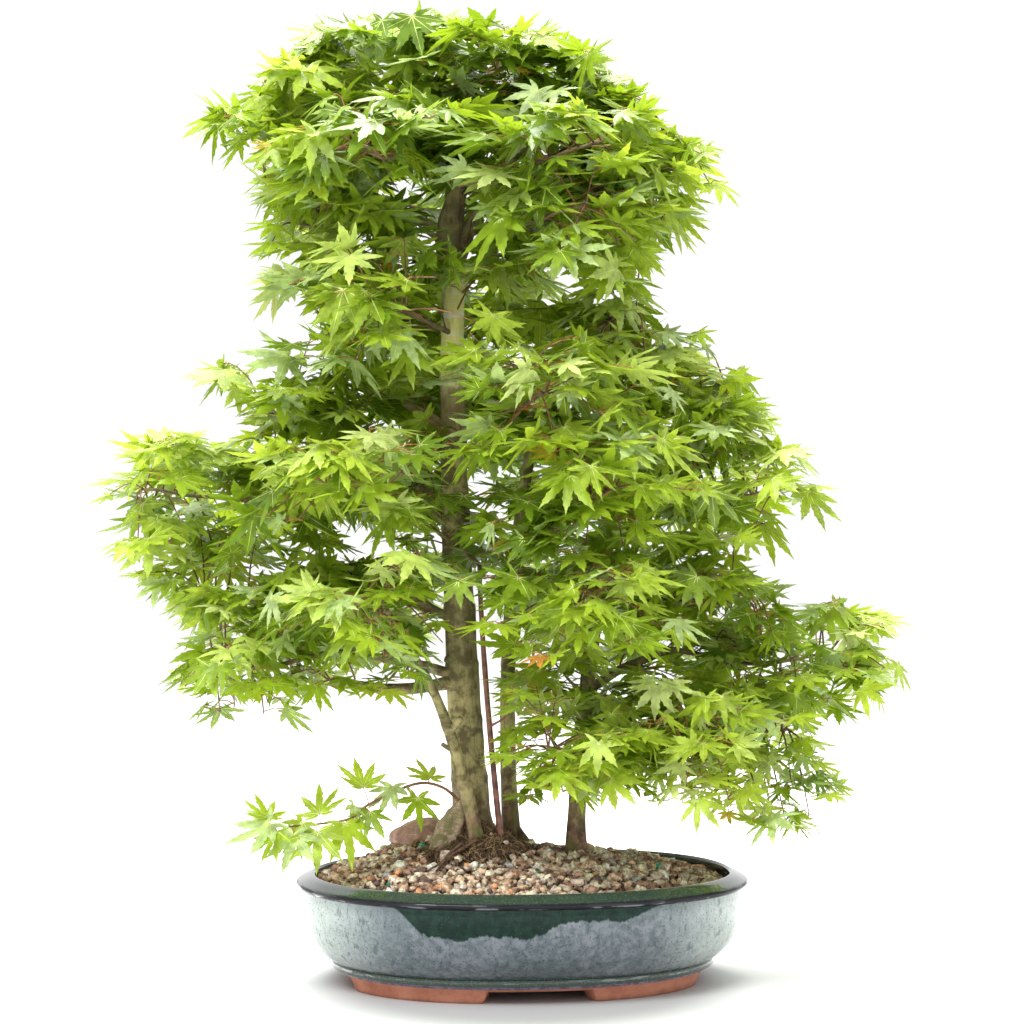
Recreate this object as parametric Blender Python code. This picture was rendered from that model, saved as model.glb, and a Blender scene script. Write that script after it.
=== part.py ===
"""A potted Japanese maple bonsai: a group of stems under one crown of leafy pads, in an oval glazed pot.

Metres, +Z up. Everything is laid out from the middle of the pot on the floor, front towards -Y,
and the whole is then moved so that the origin lies on the floor under the middle of its outline.
"""

import math
import random
from collections import namedtuple

import bmesh
import bpy
from mathutils import Matrix, Vector
from mathutils.bvhtree import BVHTree

GAP = 0.0003  # between solids that touch
SEAT_RUN = 0.10  # how far out a branch's seat on its carrier is looked for
SEAT_SLANT = 0.3  # least slope of the skin that widens a seat's gap
SEAT_STEP = 0.0001  # by which that seat moves out until the whole branch is clear
SEAT_TRIES = 12

# Pot: an oval, given by its half length and half depth at the lip; other sections are insets of it.
POT_HALF_LENGTH = 0.190
POT_HALF_DEPTH = 0.148
POT_FULLNESS = 2.2  # exponent of the oval: 2 is an ellipse, more is squarer
POT_TURN = math.radians(6)
POT_SIDES = 36
POT_HEIGHT = 0.0915
POT_FLOOR = 0.0185
WALL = 0.009
EDGE = 0.001  # by which edges are eased
LIP_WIDTH = 0.016
LIP_DROP = 0.007
BODY_TOP = 0.081
BODY_INSETS = ((0.0040, 0.0568), (0.0100, 0.0410), (0.0187, 0.0294), (0.0265, 0.0228))
BAND_INSET = 0.0285
BAND_TOP = 0.0215
BAND_FOOT = 0.0150
BASE_INSET = 0.0350
BASE_BOTTOM = 0.0125

# Foot ring of bare clay: four feet under a thin rim.
FOOT_RING_INSET = 0.0370
FOOT_RING_WIDTH = 0.024
FOOT_GAP_HEIGHT = 0.0102
FOOT_TAPER = 0.0035
FOOT_SPANS = ((23, 73), (105, 157), (200, 255), (287, 337))  # degrees round the oval
FOOT_SLANT = 1.4  # degrees over which a foot's end rises
FOOT_STEPS = 5
GAP_STEPS = 4

# Soil: a low mound whose level top carries the stems.
SOIL_EDGE = 0.084
SOIL_TOP = 0.1030
SOIL_SLOPE = 0.050  # width of the sloping margin
SOIL_RINGS = 5

ROCK_CENTRE = (-0.090, 0.024)
ROCK_HALF_SIZE = (0.027, 0.018, 0.024)
ROCK_SWELL = 0.05
ROCK_SUNK = 0.45  # share of the rock's half height below the soil

LIMB_STEPS = 11
RING_GAP = 0.002  # least run from a branch's seat to its next ring
FOOT_CROWDING = 1.35  # above 1 a stem's rings lie closer together near its foot
TAPER = 0.55  # below 1 a limb keeps its thickness low down and thins near its tip

# Stems: foot, two points that it bends towards, tip; radius above the flare and at the tip;
# then how far the foot flares out and how high the flare reaches.
Stem = namedtuple("Stem", "points radius tip flare flare_height sides")
STEMS = {
    "trunk_main": Stem(
        ((-0.040, 0.000), (-0.054, 0.000, 0.285), (-0.071, 0.000, 0.572), (-0.046, 0.000, 0.735)),
        0.0163, 0.0036, 0.0110, 0.020, 12),
    "trunk_second": Stem(
        ((-0.009, 0.033), (-0.017, 0.026, 0.243), (-0.014, 0.012, 0.369), (0.024, 0.010, 0.525)),
        0.0078, 0.0026, 0.0030, 0.012, 8),
    "trunk_third": Stem(
        ((0.044, -0.012), (0.045, -0.010, 0.209), (0.065, -0.008, 0.319), (0.082, -0.006, 0.492)),
        0.0087, 0.0028, 0.0025, 0.012, 8),
    "stem_left": Stem(
        ((-0.036, -0.037), (-0.043, -0.039, 0.158), (-0.058, -0.042, 0.214), (-0.082, -0.046, 0.264)),
        0.0072, 0.0024, 0.0020, 0.010, 6),
    "stem_right": Stem(
        ((-0.016, -0.034), (-0.026, -0.033, 0.190), (-0.034, -0.031, 0.280), (-0.036, -0.034, 0.350)),
        0.0028, 0.0018, 0.0008, 0.010, 6),
}

# The crown's tiers of pads, from the top down. Reaches are measured from the crown's upright axis,
# and each bearing, in degrees counter-clockwise from the right, gives one pad of the tier.
CROWN_AXIS_X = -0.032
PAD_INNER = 0.30  # a pad runs from this share of its tier's reach out to the whole of it
Tier = namedtuple(
    "Tier", "height left right front back bearings inner half_width half_height",
    defaults=(PAD_INNER, 0.100, 0.056))
TIERS = {
    "top": Tier(0.764, 0.110, 0.100, 0.105, 0.105, (None,), half_height=0.050),
    "crest": Tier(0.752, 0.190, 0.130, 0.180, 0.180, (180, 0), half_height=0.050),
    "high": Tier(0.715, 0.250, 0.195, 0.200, 0.220, (180, 0, 90)),
    "brow": Tier(0.690, 0.200, 0.190, 0.205, 0.205, (228, 305)),
    "upper": Tier(0.640, 0.205, 0.188, 0.200, 0.200, (180, 355, 300)),
    "neck": Tier(0.565, 0.205, 0.190, 0.200, 0.215, (180, 350, 90, 236)),
    "middle": Tier(0.488, 0.282, 0.262, 0.220, 0.240, (180, 0, 285, 90)),
    "wide": Tier(0.415, 0.362, 0.316, 0.236, 0.226, (180, 234, 300, 0, 55, 130)),
    "low": Tier(0.328, 0.300, 0.336, 0.226, 0.220, (180, 236, 296, 352, 50, 134)),
    "under": Tier(0.275, 0.282, 0.366, 0.200, 0.200, (184, 8), 0.45),
    "skirt": Tier(0.212, 0.320, 0.322, 0.190, 0.180, (290, 328, 0)),
    "foot": Tier(0.148, 0.300, 0.252, 0.200, 0.170, (207,), 0.08, 0.060, 0.036),
}
COMPASS = ("right", "back_right", "back", "back_left", "left", "front_left", "front", "front_right")

# What carries each pad. A pad on a stem's tip has no bough; one beside a stem grows straight from it.
ON_TIP = {
    "top": "trunk_main",
    "neck_right": "trunk_second",
    "middle_right": "trunk_third",
    "low_front_left": "stem_left",
    "wide_front_left": "stem_right",
}
THIRD_STEM_PADS = (
    "wide_right", "wide_front_right", "wide_back_right", "low_right", "low_front_right",
    "low_back_right", "under_right", "skirt_front", "skirt_front_right", "skirt_right")
ON_BOUGH = (
    "high_left", "high_right", "high_back", "brow_front_left", "upper_left", "upper_right",
    "middle_left", "middle_back", "wide_left", "wide_back_left", "low_left", "under_left", "under_right")
BOUGH_RISE = 0.35  # a bough leaves its stem this share of its run below the pad
OWN_RISE = {"high_right": 1.3, "upper_right": 0.7, "under_left": 0.16}
BOUGH_OUT = 0.38  # share of its run that a bough makes while it does the rest of its climb
BOUGH_END = 0.3  # share of its run over which it turns towards the pad's middle
ENTRY_SHARE = 0.95  # where a bough enters its pad, between the middle and the pad's skin
BRANCH_DROP = 0.004
BRANCH_MARGIN = 0.05  # share of a stem kept free of branches at each end
BOUGH_RADIUS = 0.0036
BOUGH_RADIUS_PER_RUN = 0.010
BOUGH_TIP = 0.0022
BOUGH_SIDES = 6
BOUGH_STEPS = 5

# Foliage: leaves larger than life, few to a twig.
STALK_RADIUS = 0.0022
HUB_SHARE = 0.25  # where a pad's stem bends, between the pad's middle and the stem's start
HUB_DROP = 0.20
STALK_END = (0.42, 0.05, -0.05)
STALK_LEAD = 0.006  # straight run from a limb's tip before the stalk bends
TWIG_RADIUS = 0.0019
TWIG_TIP = 0.0012
LEAF_LENGTH = 0.068
LEAF_THICKNESS = 0.0018
# Rim of half a leaf: bearing from its axis in degrees and share of its length, lobe and notch in turn.
LEAF_RIM = ((0, 1.0), (24, 0.52), (50, 0.92), (74, 0.48), (104, 0.62))
LEAF_SAG = 0.10
LEAF_STALK = 0.012
LEAF_HEART = 0.12  # the thickest point's distance from the leaf's foot, as a share of its length
LEAF_LARGEST = 1.08
LEAF_SHRINK = 0.22
TWIG_MARGIN = 0.05  # share of a pad's stem kept free of twigs at each end
# Whorls of a pad: reach and level of the leaves' feet as shares of its half sizes, the count in a pad
# of the usual half size, and the droop in degrees. Every other foot lies a step higher, the rest lower.
WHORLS = ((0.62, 0.0, 8, 58), (0.36, 0.50, 5, 42))
WHORL_HALF_SIZE = 0.1
LEVEL_STEP = 0.15
# A leaf strays from its site by chance: by so much at its first try, and by so much more at its last.
STRAY = {
    "turn": (0.12, 0.50), "reach": (0.15, 0.0), "level": (0.08, 0.35), "droop": (6, 30), "roll": (0.12, 0.50)}
LEAF_TRIES = 60
LEAF_DRAW_IN = 0.4  # how far its foot is drawn in by the last try
FIRST_SEED = 500
CELL_SHARING = 0.25  # how much nearer another pad's middle than its own a leaf may come
CELL_REACH = 1.45  # how far from its pad's middle, in half sizes

BARK = ((0.23, 0.20, 0.13), 0.85)
LEAF_GREEN = ((0.16, 0.33, 0.05), 0.55)
GLAZE = ((0.09, 0.17, 0.17), 0.18)
CLAY = ((0.55, 0.20, 0.11), 0.75)
GRIT = ((0.36, 0.27, 0.19), 0.9)
STONE = ((0.26, 0.14, 0.11), 0.8)


def clear_scene():
    for obj in list(bpy.data.objects):
        bpy.data.objects.remove(obj, do_unlink=True)


def material(name, look):
    colour, roughness = look
    made = bpy.data.materials.get(name) or bpy.data.materials.new(name)
    made.use_nodes = True
    shader = made.node_tree.nodes["Principled BSDF"]
    shader.inputs["Base Color"].default_value = (*colour, 1)
    shader.inputs["Roughness"].default_value = roughness
    shader.inputs["Metallic"].default_value = 0
    return made


def add_object(name, shape, look=None, smooth=False):
    """An object made of (points, faces), with its own material where a look is given."""
    points, faces = shape
    mesh = bpy.data.meshes.new(name)
    mesh.from_pydata([tuple(p) for p in points], [], faces)
    mesh.validate()
    if smooth:
        mesh.shade_smooth()
        mesh.set_sharp_from_angle(angle=math.radians(40))
    obj = bpy.data.objects.new(name, mesh)
    bpy.context.scene.collection.objects.link(obj)
    if look:
        mesh.materials.append(material(name, look))
    return obj


# --- Pot, feet, soil and rock -------------------------------------------------------------------


def oval(inset, angle):
    """The point of the pot's oval, drawn in by inset, at an angle round it."""
    c, s = math.cos(angle), math.sin(angle)
    x = (POT_HALF_LENGTH - inset) * math.copysign(abs(c) ** (2 / POT_FULLNESS), c)
    y = (POT_HALF_DEPTH - inset) * math.copysign(abs(s) ** (2 / POT_FULLNESS), s)
    return Vector((x, y)).to_3d() @ Matrix.Rotation(-POT_TURN, 3, "Z")


def turned(profile, sides=POT_SIDES):
    """A closed oval solid from (inset, z) stations, its first and last ring closed by fans."""
    points = []
    for inset, z in profile:
        for i in range(sides):
            p = oval(inset, 2 * math.pi * i / sides)
            points.append((p.x, p.y, z))
    faces = []
    for ring in range(len(profile) - 1):
        for i in range(sides):
            j = (i + 1) % sides
            a, b = ring * sides, (ring + 1) * sides
            faces.append((a + i, a + j, b + j, b + i))
    for ring, z in ((0, profile[0][1]), (len(profile) - 1, profile[-1][1])):
        centre = len(points)
        points.append((0, 0, z))
        for i in range(sides):
            edge = (ring * sides + (i + 1) % sides, ring * sides + i)
            faces.append((centre, *(edge if ring == 0 else edge[::-1])))
    return points, faces


def inner_wall(clearance=0.0):
    """Stations of the pot's inside, from the mouth down to the floor."""
    return (
        (LIP_WIDTH + clearance, BODY_TOP),
        (LIP_WIDTH + clearance, BODY_INSETS[0][1]),
        (BODY_INSETS[2][0] + WALL + clearance, BODY_INSETS[2][1]),
        (BASE_INSET + WALL + clearance, POT_FLOOR + clearance),
    )


def build_pot():
    profile = [(BASE_INSET, BASE_BOTTOM), (BASE_INSET, BAND_FOOT - EDGE), (BAND_INSET + EDGE, BAND_FOOT)]
    profile += [(BAND_INSET, (BAND_TOP + BAND_FOOT) / 2), (BAND_INSET + EDGE, BAND_TOP)]
    profile += reversed(BODY_INSETS)
    profile += [(3 * EDGE, BODY_TOP), (EDGE, BODY_TOP + EDGE), (0.0, POT_HEIGHT - LIP_DROP)]
    profile += [(4 * EDGE, POT_HEIGHT - EDGE), (LIP_WIDTH - 4 * EDGE, POT_HEIGHT)]
    profile += [(LIP_WIDTH, POT_HEIGHT - 2 * EDGE), *inner_wall()]
    add_object("pot", turned(profile), GLAZE, smooth=True)


def build_foot_ring():
    """A ring of rectangular section whose underside drops to the floor along each foot."""
    starts_after = [start for start, _ in FOOT_SPANS[1:]] + [FOOT_SPANS[0][0] + 360]
    stations = []
    for (start, end), following in zip(FOOT_SPANS, starts_after):
        stations.append((start - FOOT_SLANT, FOOT_GAP_HEIGHT))
        stations += [(start + (end - start) * k / FOOT_STEPS, 0.0) for k in range(FOOT_STEPS + 1)]
        stations.append((end + FOOT_SLANT, FOOT_GAP_HEIGHT))
        stations += [(end + (following - end) * k / GAP_STEPS, FOOT_GAP_HEIGHT) for k in range(1, GAP_STEPS)]
    top = BASE_BOTTOM - GAP
    points = []
    for degrees, bottom in stations:
        angle = math.radians(degrees)
        taper = FOOT_TAPER if bottom == 0 else 0.0
        for inset, z in (
            (FOOT_RING_INSET + taper, bottom),
            (FOOT_RING_INSET, top),
            (FOOT_RING_INSET + FOOT_RING_WIDTH, top),
            (FOOT_RING_INSET + FOOT_RING_WIDTH - taper, bottom),
        ):
            p = oval(inset, angle)
            points.append((p.x, p.y, z))
    faces = []
    for k in range(len(stations)):
        a, b = 4 * k, 4 * ((k + 1) % len(stations))
        for i in range(4):
            j = (i + 1) % 4
            faces.append((a + i, b + i, b + j, a + j))
    add_object("foot_ring", (points, faces), CLAY)


def soil_height(inset_from_edge):
    """Height of the soil a given distance in from the pot's inner wall."""
    share = min(inset_from_edge / SOIL_SLOPE, 1)
    return SOIL_EDGE + (SOIL_TOP - SOIL_EDGE) * (1 - (1 - share) ** 2)


def build_soil():
    edge = LIP_WIDTH + GAP
    profile = list(reversed(inner_wall(GAP)))
    profile += [
        (edge + SOIL_SLOPE * k / SOIL_RINGS, soil_height(SOIL_SLOPE * k / SOIL_RINGS))
        for k in range(SOIL_RINGS + 1)
    ]
    add_object("soil", turned(profile), GRIT, smooth=True)


def build_rock():
    """A smooth cobble with its underside cut level with the soil."""
    half = Vector(ROCK_HALF_SIZE)
    bed = SOIL_TOP + GAP
    centre = Vector((*ROCK_CENTRE, bed + half.z * (1 - ROCK_SUNK)))
    mesh = bmesh.new()
    bmesh.ops.create_icosphere(mesh, subdivisions=2, radius=1)
    for vertex in mesh.verts:
        n = vertex.co.normalized()
        swell = 1 + ROCK_SWELL * (math.sin(3 * n.x + 1) + math.sin(4 * n.y + 2 * n.z))
        vertex.co = centre + Vector(n[i] * half[i] * swell for i in range(3))
    cut = bmesh.ops.bisect_plane(
        mesh, geom=mesh.verts[:] + mesh.edges[:] + mesh.faces[:], plane_co=(0, 0, bed),
        plane_no=(0, 0, 1), clear_inner=True)
    rim = [e for e in cut["geom_cut"] if isinstance(e, bmesh.types.BMEdge)]
    bmesh.ops.holes_fill(mesh, edges=rim)
    bmesh.ops.recalc_face_normals(mesh, faces=mesh.faces[:])
    points = [v.co.copy() for v in mesh.verts]
    faces = [tuple(v.index for v in f.verts) for f in mesh.faces]
    mesh.free()
    add_object("rock", (points, faces), STONE, smooth=True)


# --- Limbs --------------------------------------------------------------------------------------


class Limb:
    """A tapering limb along a cubic curve, with its rings of points."""

    def __init__(self, points, radius, tip, sides, steps, flare=0.0, flare_height=1.0):
        self.points = [Vector(p) for p in points]
        self.radius, self.tip = radius, tip
        self.flare, self.flare_height = flare, flare_height
        self.sides, self.steps = sides, steps
        self.skin = None

    def at(self, t):
        a, b, c, d = self.points
        u = 1 - t
        return a * u**3 + b * (3 * u * u * t) + c * (3 * u * t * t) + d * t**3

    def along(self, t):
        a, b, c, d = self.points
        u = 1 - t
        return ((b - a) * u * u + (c - b) * (2 * u * t) + (d - c) * t * t).normalized()

    def thickness(self, t):
        """Radius at t: a taper, and at the foot the flare dying away upwards."""
        taper = self.tip + (self.radius - self.tip) * (1 - t) ** TAPER
        rise = self.at(t).z - self.points[0].z
        return taper + self.flare * math.exp(-rise / self.flare_height)

    def t_at_height(self, z):
        low, high = 0.0, 1.0
        for _ in range(30):
            middle = (low + high) / 2
            low, high = (middle, high) if self.at(middle).z < z else (low, middle)
        return low

    def parameters(self):
        """Steps along the limb, closer together near the foot where the flare is."""
        return [(k / self.steps) ** FOOT_CROWDING for k in range(self.steps + 1)]


def ring_about(centre, axis, radius, sides, start=Vector((1, 0, 0))):
    side = (start - axis * start.dot(axis)).normalized()
    other = axis.cross(side)
    return [
        centre + (side * math.cos(a) + other * math.sin(a)) * radius
        for a in (2 * math.pi * i / sides for i in range(sides))
    ]


def tube(rings, first_cap=None):
    """A closed tube over rings of points. The first cap may have a middle point of its own."""
    sides = len(rings[0])
    points = [p for ring in rings for p in ring]
    faces = []
    for k in range(len(rings) - 1):
        for i in range(sides):
            j = (i + 1) % sides
            a, b = k * sides, (k + 1) * sides
            faces.append((a + i, a + j, b + j, b + i))
    if first_cap is None:
        faces.append(tuple(range(sides))[::-1])
    else:
        middle = len(points)
        points.append(first_cap)
        faces += [(middle, (i + 1) % sides, i) for i in range(sides)]
    last = (len(rings) - 1) * sides
    faces.append(tuple(last + i for i in range(sides)))
    return points, faces


def steady_side(axis):
    return Vector((0, 0, 1)) if abs(axis.z) < 0.8 else Vector((1, 0, 0))


def tree_of(shapes):
    """One search tree over several shapes."""
    points, faces = [], []
    for shape_points, shape_faces in shapes:
        start = len(points)
        points += shape_points
        faces += [tuple(start + i for i in face) for face in shape_faces]
    return BVHTree.FromPolygons(points, faces, all_triangles=False)


def seat_on(carrier, points, direction, gap):
    """Points slid along direction until each lies a gap outside the carrier's skin."""
    seated = []
    for p in points:
        hit, normal, _, _ = carrier.skin.ray_cast(p + direction * SEAT_RUN, -direction, SEAT_RUN)
        slope = max(normal.dot(direction), SEAT_SLANT) if hit else 1
        seated.append(hit + direction * (gap / slope) if hit else p)
    return seated


def clear_of(carrier, shape_at):
    """The shape that shape_at gives for the least gap that keeps it clear of its carrier."""
    gap = GAP
    for _ in range(SEAT_TRIES):
        if not tree_of([shape_at(gap)]).overlap(carrier.skin):
            break
        gap += SEAT_STEP
    return shape_at(gap + SEAT_STEP)


def stem_shape(limb):
    rings = [ring_about(limb.at(t), limb.along(t), limb.thickness(t), limb.sides) for t in limb.parameters()]
    for p in rings[0]:
        p.z = SOIL_TOP + GAP
    return tube(rings)


def bough_shape(limb, carrier, gap):
    """Rings of a bough, the first coped to its carrier's skin."""
    start = limb.along(0)
    side = steady_side(start)
    rings = [
        ring_about(limb.at(t), limb.along(t), limb.thickness(t), limb.sides, side)
        for t in (k / limb.steps for k in range(limb.steps + 1))
    ]
    *first, cap = seat_on(carrier, rings[0] + [limb.at(0)], start, gap)
    reach = max((p - limb.at(0)).dot(start) for p in first)
    kept = [r for r in rings[1:] if min((p - limb.at(0)).dot(start) for p in r) > reach + RING_GAP]
    return tube([first] + kept, cap)


def build_stems():
    stems = {}
    for name, stem in STEMS.items():
        foot, *others = stem.points
        points = [(*foot, SOIL_TOP + GAP), *others]
        limb = Limb(points, stem.radius, stem.tip, stem.sides, LIMB_STEPS, stem.flare, stem.flare_height)
        shape = stem_shape(limb)
        limb.skin = tree_of([shape])
        stems[name] = limb
        add_object(name, shape, BARK, smooth=True)
    return stems


# --- The crown's pads ---------------------------------------------------------------------------


class Pad:
    """The space of one mass of foliage: a flattened ellipsoid that points outwards along a bearing."""

    def __init__(self, name, tier, bearing):
        self.name = name
        if bearing is None:
            self.out = Vector((1, 0, 0))
            middle = (tier.right - tier.left) / 2
            self.half = Vector(((tier.left + tier.right) / 2, tier.front, tier.half_height))
        else:
            angle = math.radians(bearing)
            self.out = Vector((math.cos(angle), math.sin(angle), 0))
            along_x = tier.right if self.out.x > 0 else tier.left
            along_y = tier.back if self.out.y > 0 else tier.front
            reach = 1 / math.hypot(self.out.x / along_x, self.out.y / along_y)
            middle = reach * (1 + tier.inner) / 2
            self.half = Vector((reach * (1 - tier.inner) / 2, tier.half_width, tier.half_height))
        self.across = Vector((-self.out.y, self.out.x, 0))
        self.centre = Vector((CROWN_AXIS_X, 0, tier.height)) + self.out * middle

    def place(self, out, across, up):
        """The point at these shares of the half sizes from the middle."""
        return (self.centre + self.out * (out * self.half.x) + self.across * (across * self.half.y)
                + Vector((0, 0, up * self.half.z)))

    def distance(self, p):
        """0 at the middle, 1 on the ellipsoid."""
        d = p - self.centre
        shares = (d.dot(self.out) / self.half.x, d.dot(self.across) / self.half.y, d.z / self.half.z)
        return Vector(shares).length


def lay_out_pads():
    pads = {}
    for tier_name, tier in TIERS.items():
        for bearing in tier.bearings:
            name = tier_name
            if bearing is not None:
                name += "_" + COMPASS[round(bearing / 45) % 8]
            pads[name] = Pad(name, tier, bearing)
    return pads


def carrier_of(name, stems):
    return stems["trunk_third" if name in THIRD_STEM_PADS else "trunk_main"]


def root_towards(carrier, pad, share):
    """The point on a stem's axis from which a branch rises to the pad, and where it enters the pad."""
    beside = carrier.at(carrier.t_at_height(pad.centre.z))
    flat = Vector((beside.x - pad.centre.x, beside.y - pad.centre.y, 0))
    entry = pad.centre + flat * min(ENTRY_SHARE / max(pad.distance(pad.centre + flat), ENTRY_SHARE), 1)
    run = (beside - entry).to_2d().length
    t = carrier.t_at_height(entry.z - share * run - BRANCH_DROP)
    return carrier.at(min(max(t, BRANCH_MARGIN), 1 - BRANCH_MARGIN)), entry


def build_boughs(pads, stems):
    boughs = {}
    for name in ON_BOUGH:
        pad = pads[name]
        carrier = carrier_of(name, stems)
        rise = OWN_RISE.get(name, BOUGH_RISE)
        start, end = root_towards(carrier, pad, rise)
        flat = Vector((end.x - start.x, end.y - start.y, 0))
        run = flat.length
        climb = end.z - start.z
        near = start + flat * BOUGH_OUT + Vector((0, 0, climb * (1 - BOUGH_OUT)))
        far = end - (pad.centre - end).normalized() * (run * BOUGH_END)
        radius = BOUGH_RADIUS + BOUGH_RADIUS_PER_RUN * run
        bough = Limb((start, near, far, end), radius, BOUGH_TIP, BOUGH_SIDES, BOUGH_STEPS)
        boughs[name] = bough
        shape = clear_of(carrier, lambda gap: bough_shape(bough, carrier, gap))
        add_object("bough_" + name, shape, BARK, smooth=True)
    return boughs


def leaf_on_twig(root, base, out, normal, scale):
    """A three-sided twig from root to base that opens into a five-lobed leaf, thickest in its middle."""
    side = normal.cross(out)
    length = LEAF_LENGTH * scale
    heart = base + out * (LEAF_STALK * scale)

    def spoke(degrees, share):
        angle = math.radians(degrees)
        sag = normal * (length * LEAF_SAG * share * share)
        return heart + (out * math.cos(angle) + side * math.sin(angle)) * (length * share) - sag

    half = [spoke(angle, share) for angle, share in LEAF_RIM]
    other_half = [spoke(-angle, share) for angle, share in LEAF_RIM[1:]]
    rim = half[::-1] + other_half
    twig = (base - root).normalized()
    bisector = (twig + out).normalized()
    rings = []
    for centre, radius, axis in ((root, TWIG_RADIUS, twig), (base, TWIG_TIP, bisector)):
        keel = side.cross(axis).normalized()
        rings.append([centre + side * radius, centre - side * radius, centre + keel * radius])
    middle = heart + out * (length * LEAF_HEART)
    points = rings[0] + rings[1] + rim
    top, bottom = len(points), len(points) + 1
    points += [middle + normal * (LEAF_THICKNESS / 2), middle - normal * (LEAF_THICKNESS / 2)]
    left, right, keel = 3, 4, 5
    edge = [right, *range(5 + len(rim), 5, -1), left]
    faces = [(2, 1, 0), (1, 4, 3, 0), (2, 5, 4, 1), (0, 3, 5, 2)]
    faces += [(top, left, right), (bottom, keel, left), (bottom, right, keel)]
    for a, b in zip(edge, edge[1:]):
        faces += [(a, b, top), (b, a, bottom)]
    return points, faces


class Foliage:
    """Grows the pads one after another, each leaf clear of the limbs and of every other pad."""

    def __init__(self, pads, limbs, footstalks):
        self.pads = pads
        self.limbs = tree_of(limbs)
        self.footstalks = footstalks
        self.leaves = []

    def in_own_space(self, pad, points):
        neighbours = [other for other in self.pads.values() if other is not pad]
        for p in points:
            own = pad.distance(p)
            if own > CELL_REACH or any(other.distance(p) < own - CELL_SHARING for other in neighbours):
                return False
        return True

    def is_free(self, pad, shape):
        if not self.in_own_space(pad, shape[0]):
            return False
        tree = tree_of([shape])
        if tree.overlap(self.limbs):
            return False
        others = (stalk for name, stalk in self.footstalks.items() if name != pad.name)
        return not any(tree.overlap(other) for other in [*others, *self.leaves])


def main_axis_of(pad, start):
    """The line of a pad's own stem: from where it is held, past the middle, outwards."""
    hub = pad.centre + (start - pad.centre) * HUB_SHARE
    hub.z = pad.centre.z - HUB_DROP * pad.half.z
    return [start, hub, pad.place(*STALK_END)]


def three_sided(points, radii):
    rings = []
    for k, p in enumerate(points):
        before, after = points[max(k - 1, 0)], points[min(k + 1, len(points) - 1)]
        axis = (after - before).normalized()
        rings.append(ring_about(p, axis, radii[k], 3, steady_side(axis)))
    return rings


def grow_pad(pad, stalk, foliage, seed):
    """Whorls of twigs from the pad's stem, each opening into a leaf that falls away outwards."""
    chance = random.Random(seed)
    hub, far = stalk[-2:]
    shapes = []
    for reach, level, count, droop in WHORLS:
        first_turn = chance.uniform(0, 2 * math.pi)
        own_count = round(count * (pad.half.x + pad.half.y) / (2 * WHORL_HALF_SIZE))
        for k in range(own_count):
            turn = first_turn + 2 * math.pi * k / own_count
            step = LEVEL_STEP if k % 2 else -LEVEL_STEP
            leaf = fit_leaf(pad, (hub, far), (reach, level + step, turn, droop), foliage, chance)
            if leaf:
                shapes.append(leaf)
                foliage.leaves.append(tree_of([leaf]))
    return shapes


def fit_leaf(pad, stem, site, foliage, chance):
    """A leaf on its twig, moved further from its site until it is free, or none."""
    reach, level, turn, droop = site
    for attempt in range(LEAF_TRIES):
        ease = attempt / LEAF_TRIES

        def stray(kind):
            least, more = STRAY[kind]
            return chance.uniform(-1, 1) * (least + more * ease)

        angle = turn + stray("turn")
        share = reach * (1 + stray("reach") - LEAF_DRAW_IN * ease)
        base = pad.place(share * math.cos(angle), share * math.sin(angle), level + stray("level"))
        root = stem[0].lerp(stem[1], min(max((1 + math.cos(angle)) / 2, TWIG_MARGIN), 1 - TWIG_MARGIN))
        fall = math.radians(droop + stray("droop"))
        roll = stray("roll")
        flat = Vector((base.x - root.x, base.y - root.y, 0)).normalized()
        side = flat.cross(Vector((0, 0, 1)))
        out = (flat * math.cos(fall) - Vector((0, 0, math.sin(fall)))).normalized()
        normal = (side.cross(out) * math.cos(roll) + side * math.sin(roll)).normalized()
        leaf = leaf_on_twig(root, base, out, normal, LEAF_LARGEST - LEAF_SHRINK * ease)
        if foliage.is_free(pad, leaf):
            return leaf
    return None


def fuse(name, shapes, look):
    """One solid from overlapping shapes, by a Boolean union over a collection."""
    collection = bpy.data.collections.new(name + "_pieces")
    bpy.context.scene.collection.children.link(collection)
    for k, shape in enumerate(shapes[1:]):
        piece = add_object(f"{name}_piece_{k}", shape)
        bpy.context.scene.collection.objects.unlink(piece)
        collection.objects.link(piece)
    obj = add_object(name, shapes[0], look)
    union = obj.modifiers.new("union", "BOOLEAN")
    union.operation = "UNION"
    union.operand_type = "COLLECTION"
    union.collection = collection
    union.solver = "MANIFOLD"
    graph = bpy.context.evaluated_depsgraph_get()
    joined = bpy.data.meshes.new_from_object(obj.evaluated_get(graph))
    obj.modifiers.clear()
    obj.data = joined
    keep_largest_shell(joined)
    for piece in list(collection.objects):
        bpy.data.objects.remove(piece, do_unlink=True)
    bpy.data.collections.remove(collection)
    return obj


def keep_largest_shell(mesh):
    """Drops loose scraps, and the inner shells that would make a sealed hollow."""
    work = bmesh.new()
    work.from_mesh(mesh)
    shells, seen = [], set()
    for first in work.verts:
        if first in seen:
            continue
        shell, front = {first}, [first]
        while front:
            for edge in front.pop().link_edges:
                for vertex in edge.verts:
                    if vertex not in shell:
                        shell.add(vertex)
                        front.append(vertex)
        seen |= shell
        shells.append(shell)
    shells.sort(key=len)
    for shell in shells[:-1]:
        bmesh.ops.delete(work, geom=list(shell), context="VERTS")
    work.to_mesh(mesh)
    work.free()


def stalk_on_tip(pad, holder):
    """A pad's own stem, starting square on the tip of its holder."""
    direction = holder.along(1)
    start = holder.at(1) + direction * GAP
    line = [start, start + direction * STALK_LEAD, *main_axis_of(pad, start)[1:]]
    rings = three_sided(line, (STALK_RADIUS, STALK_RADIUS, STALK_RADIUS, TWIG_RADIUS))
    rings[0] = ring_about(start, direction, STALK_RADIUS, 3, steady_side(direction))
    return line, tube(rings)


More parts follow.
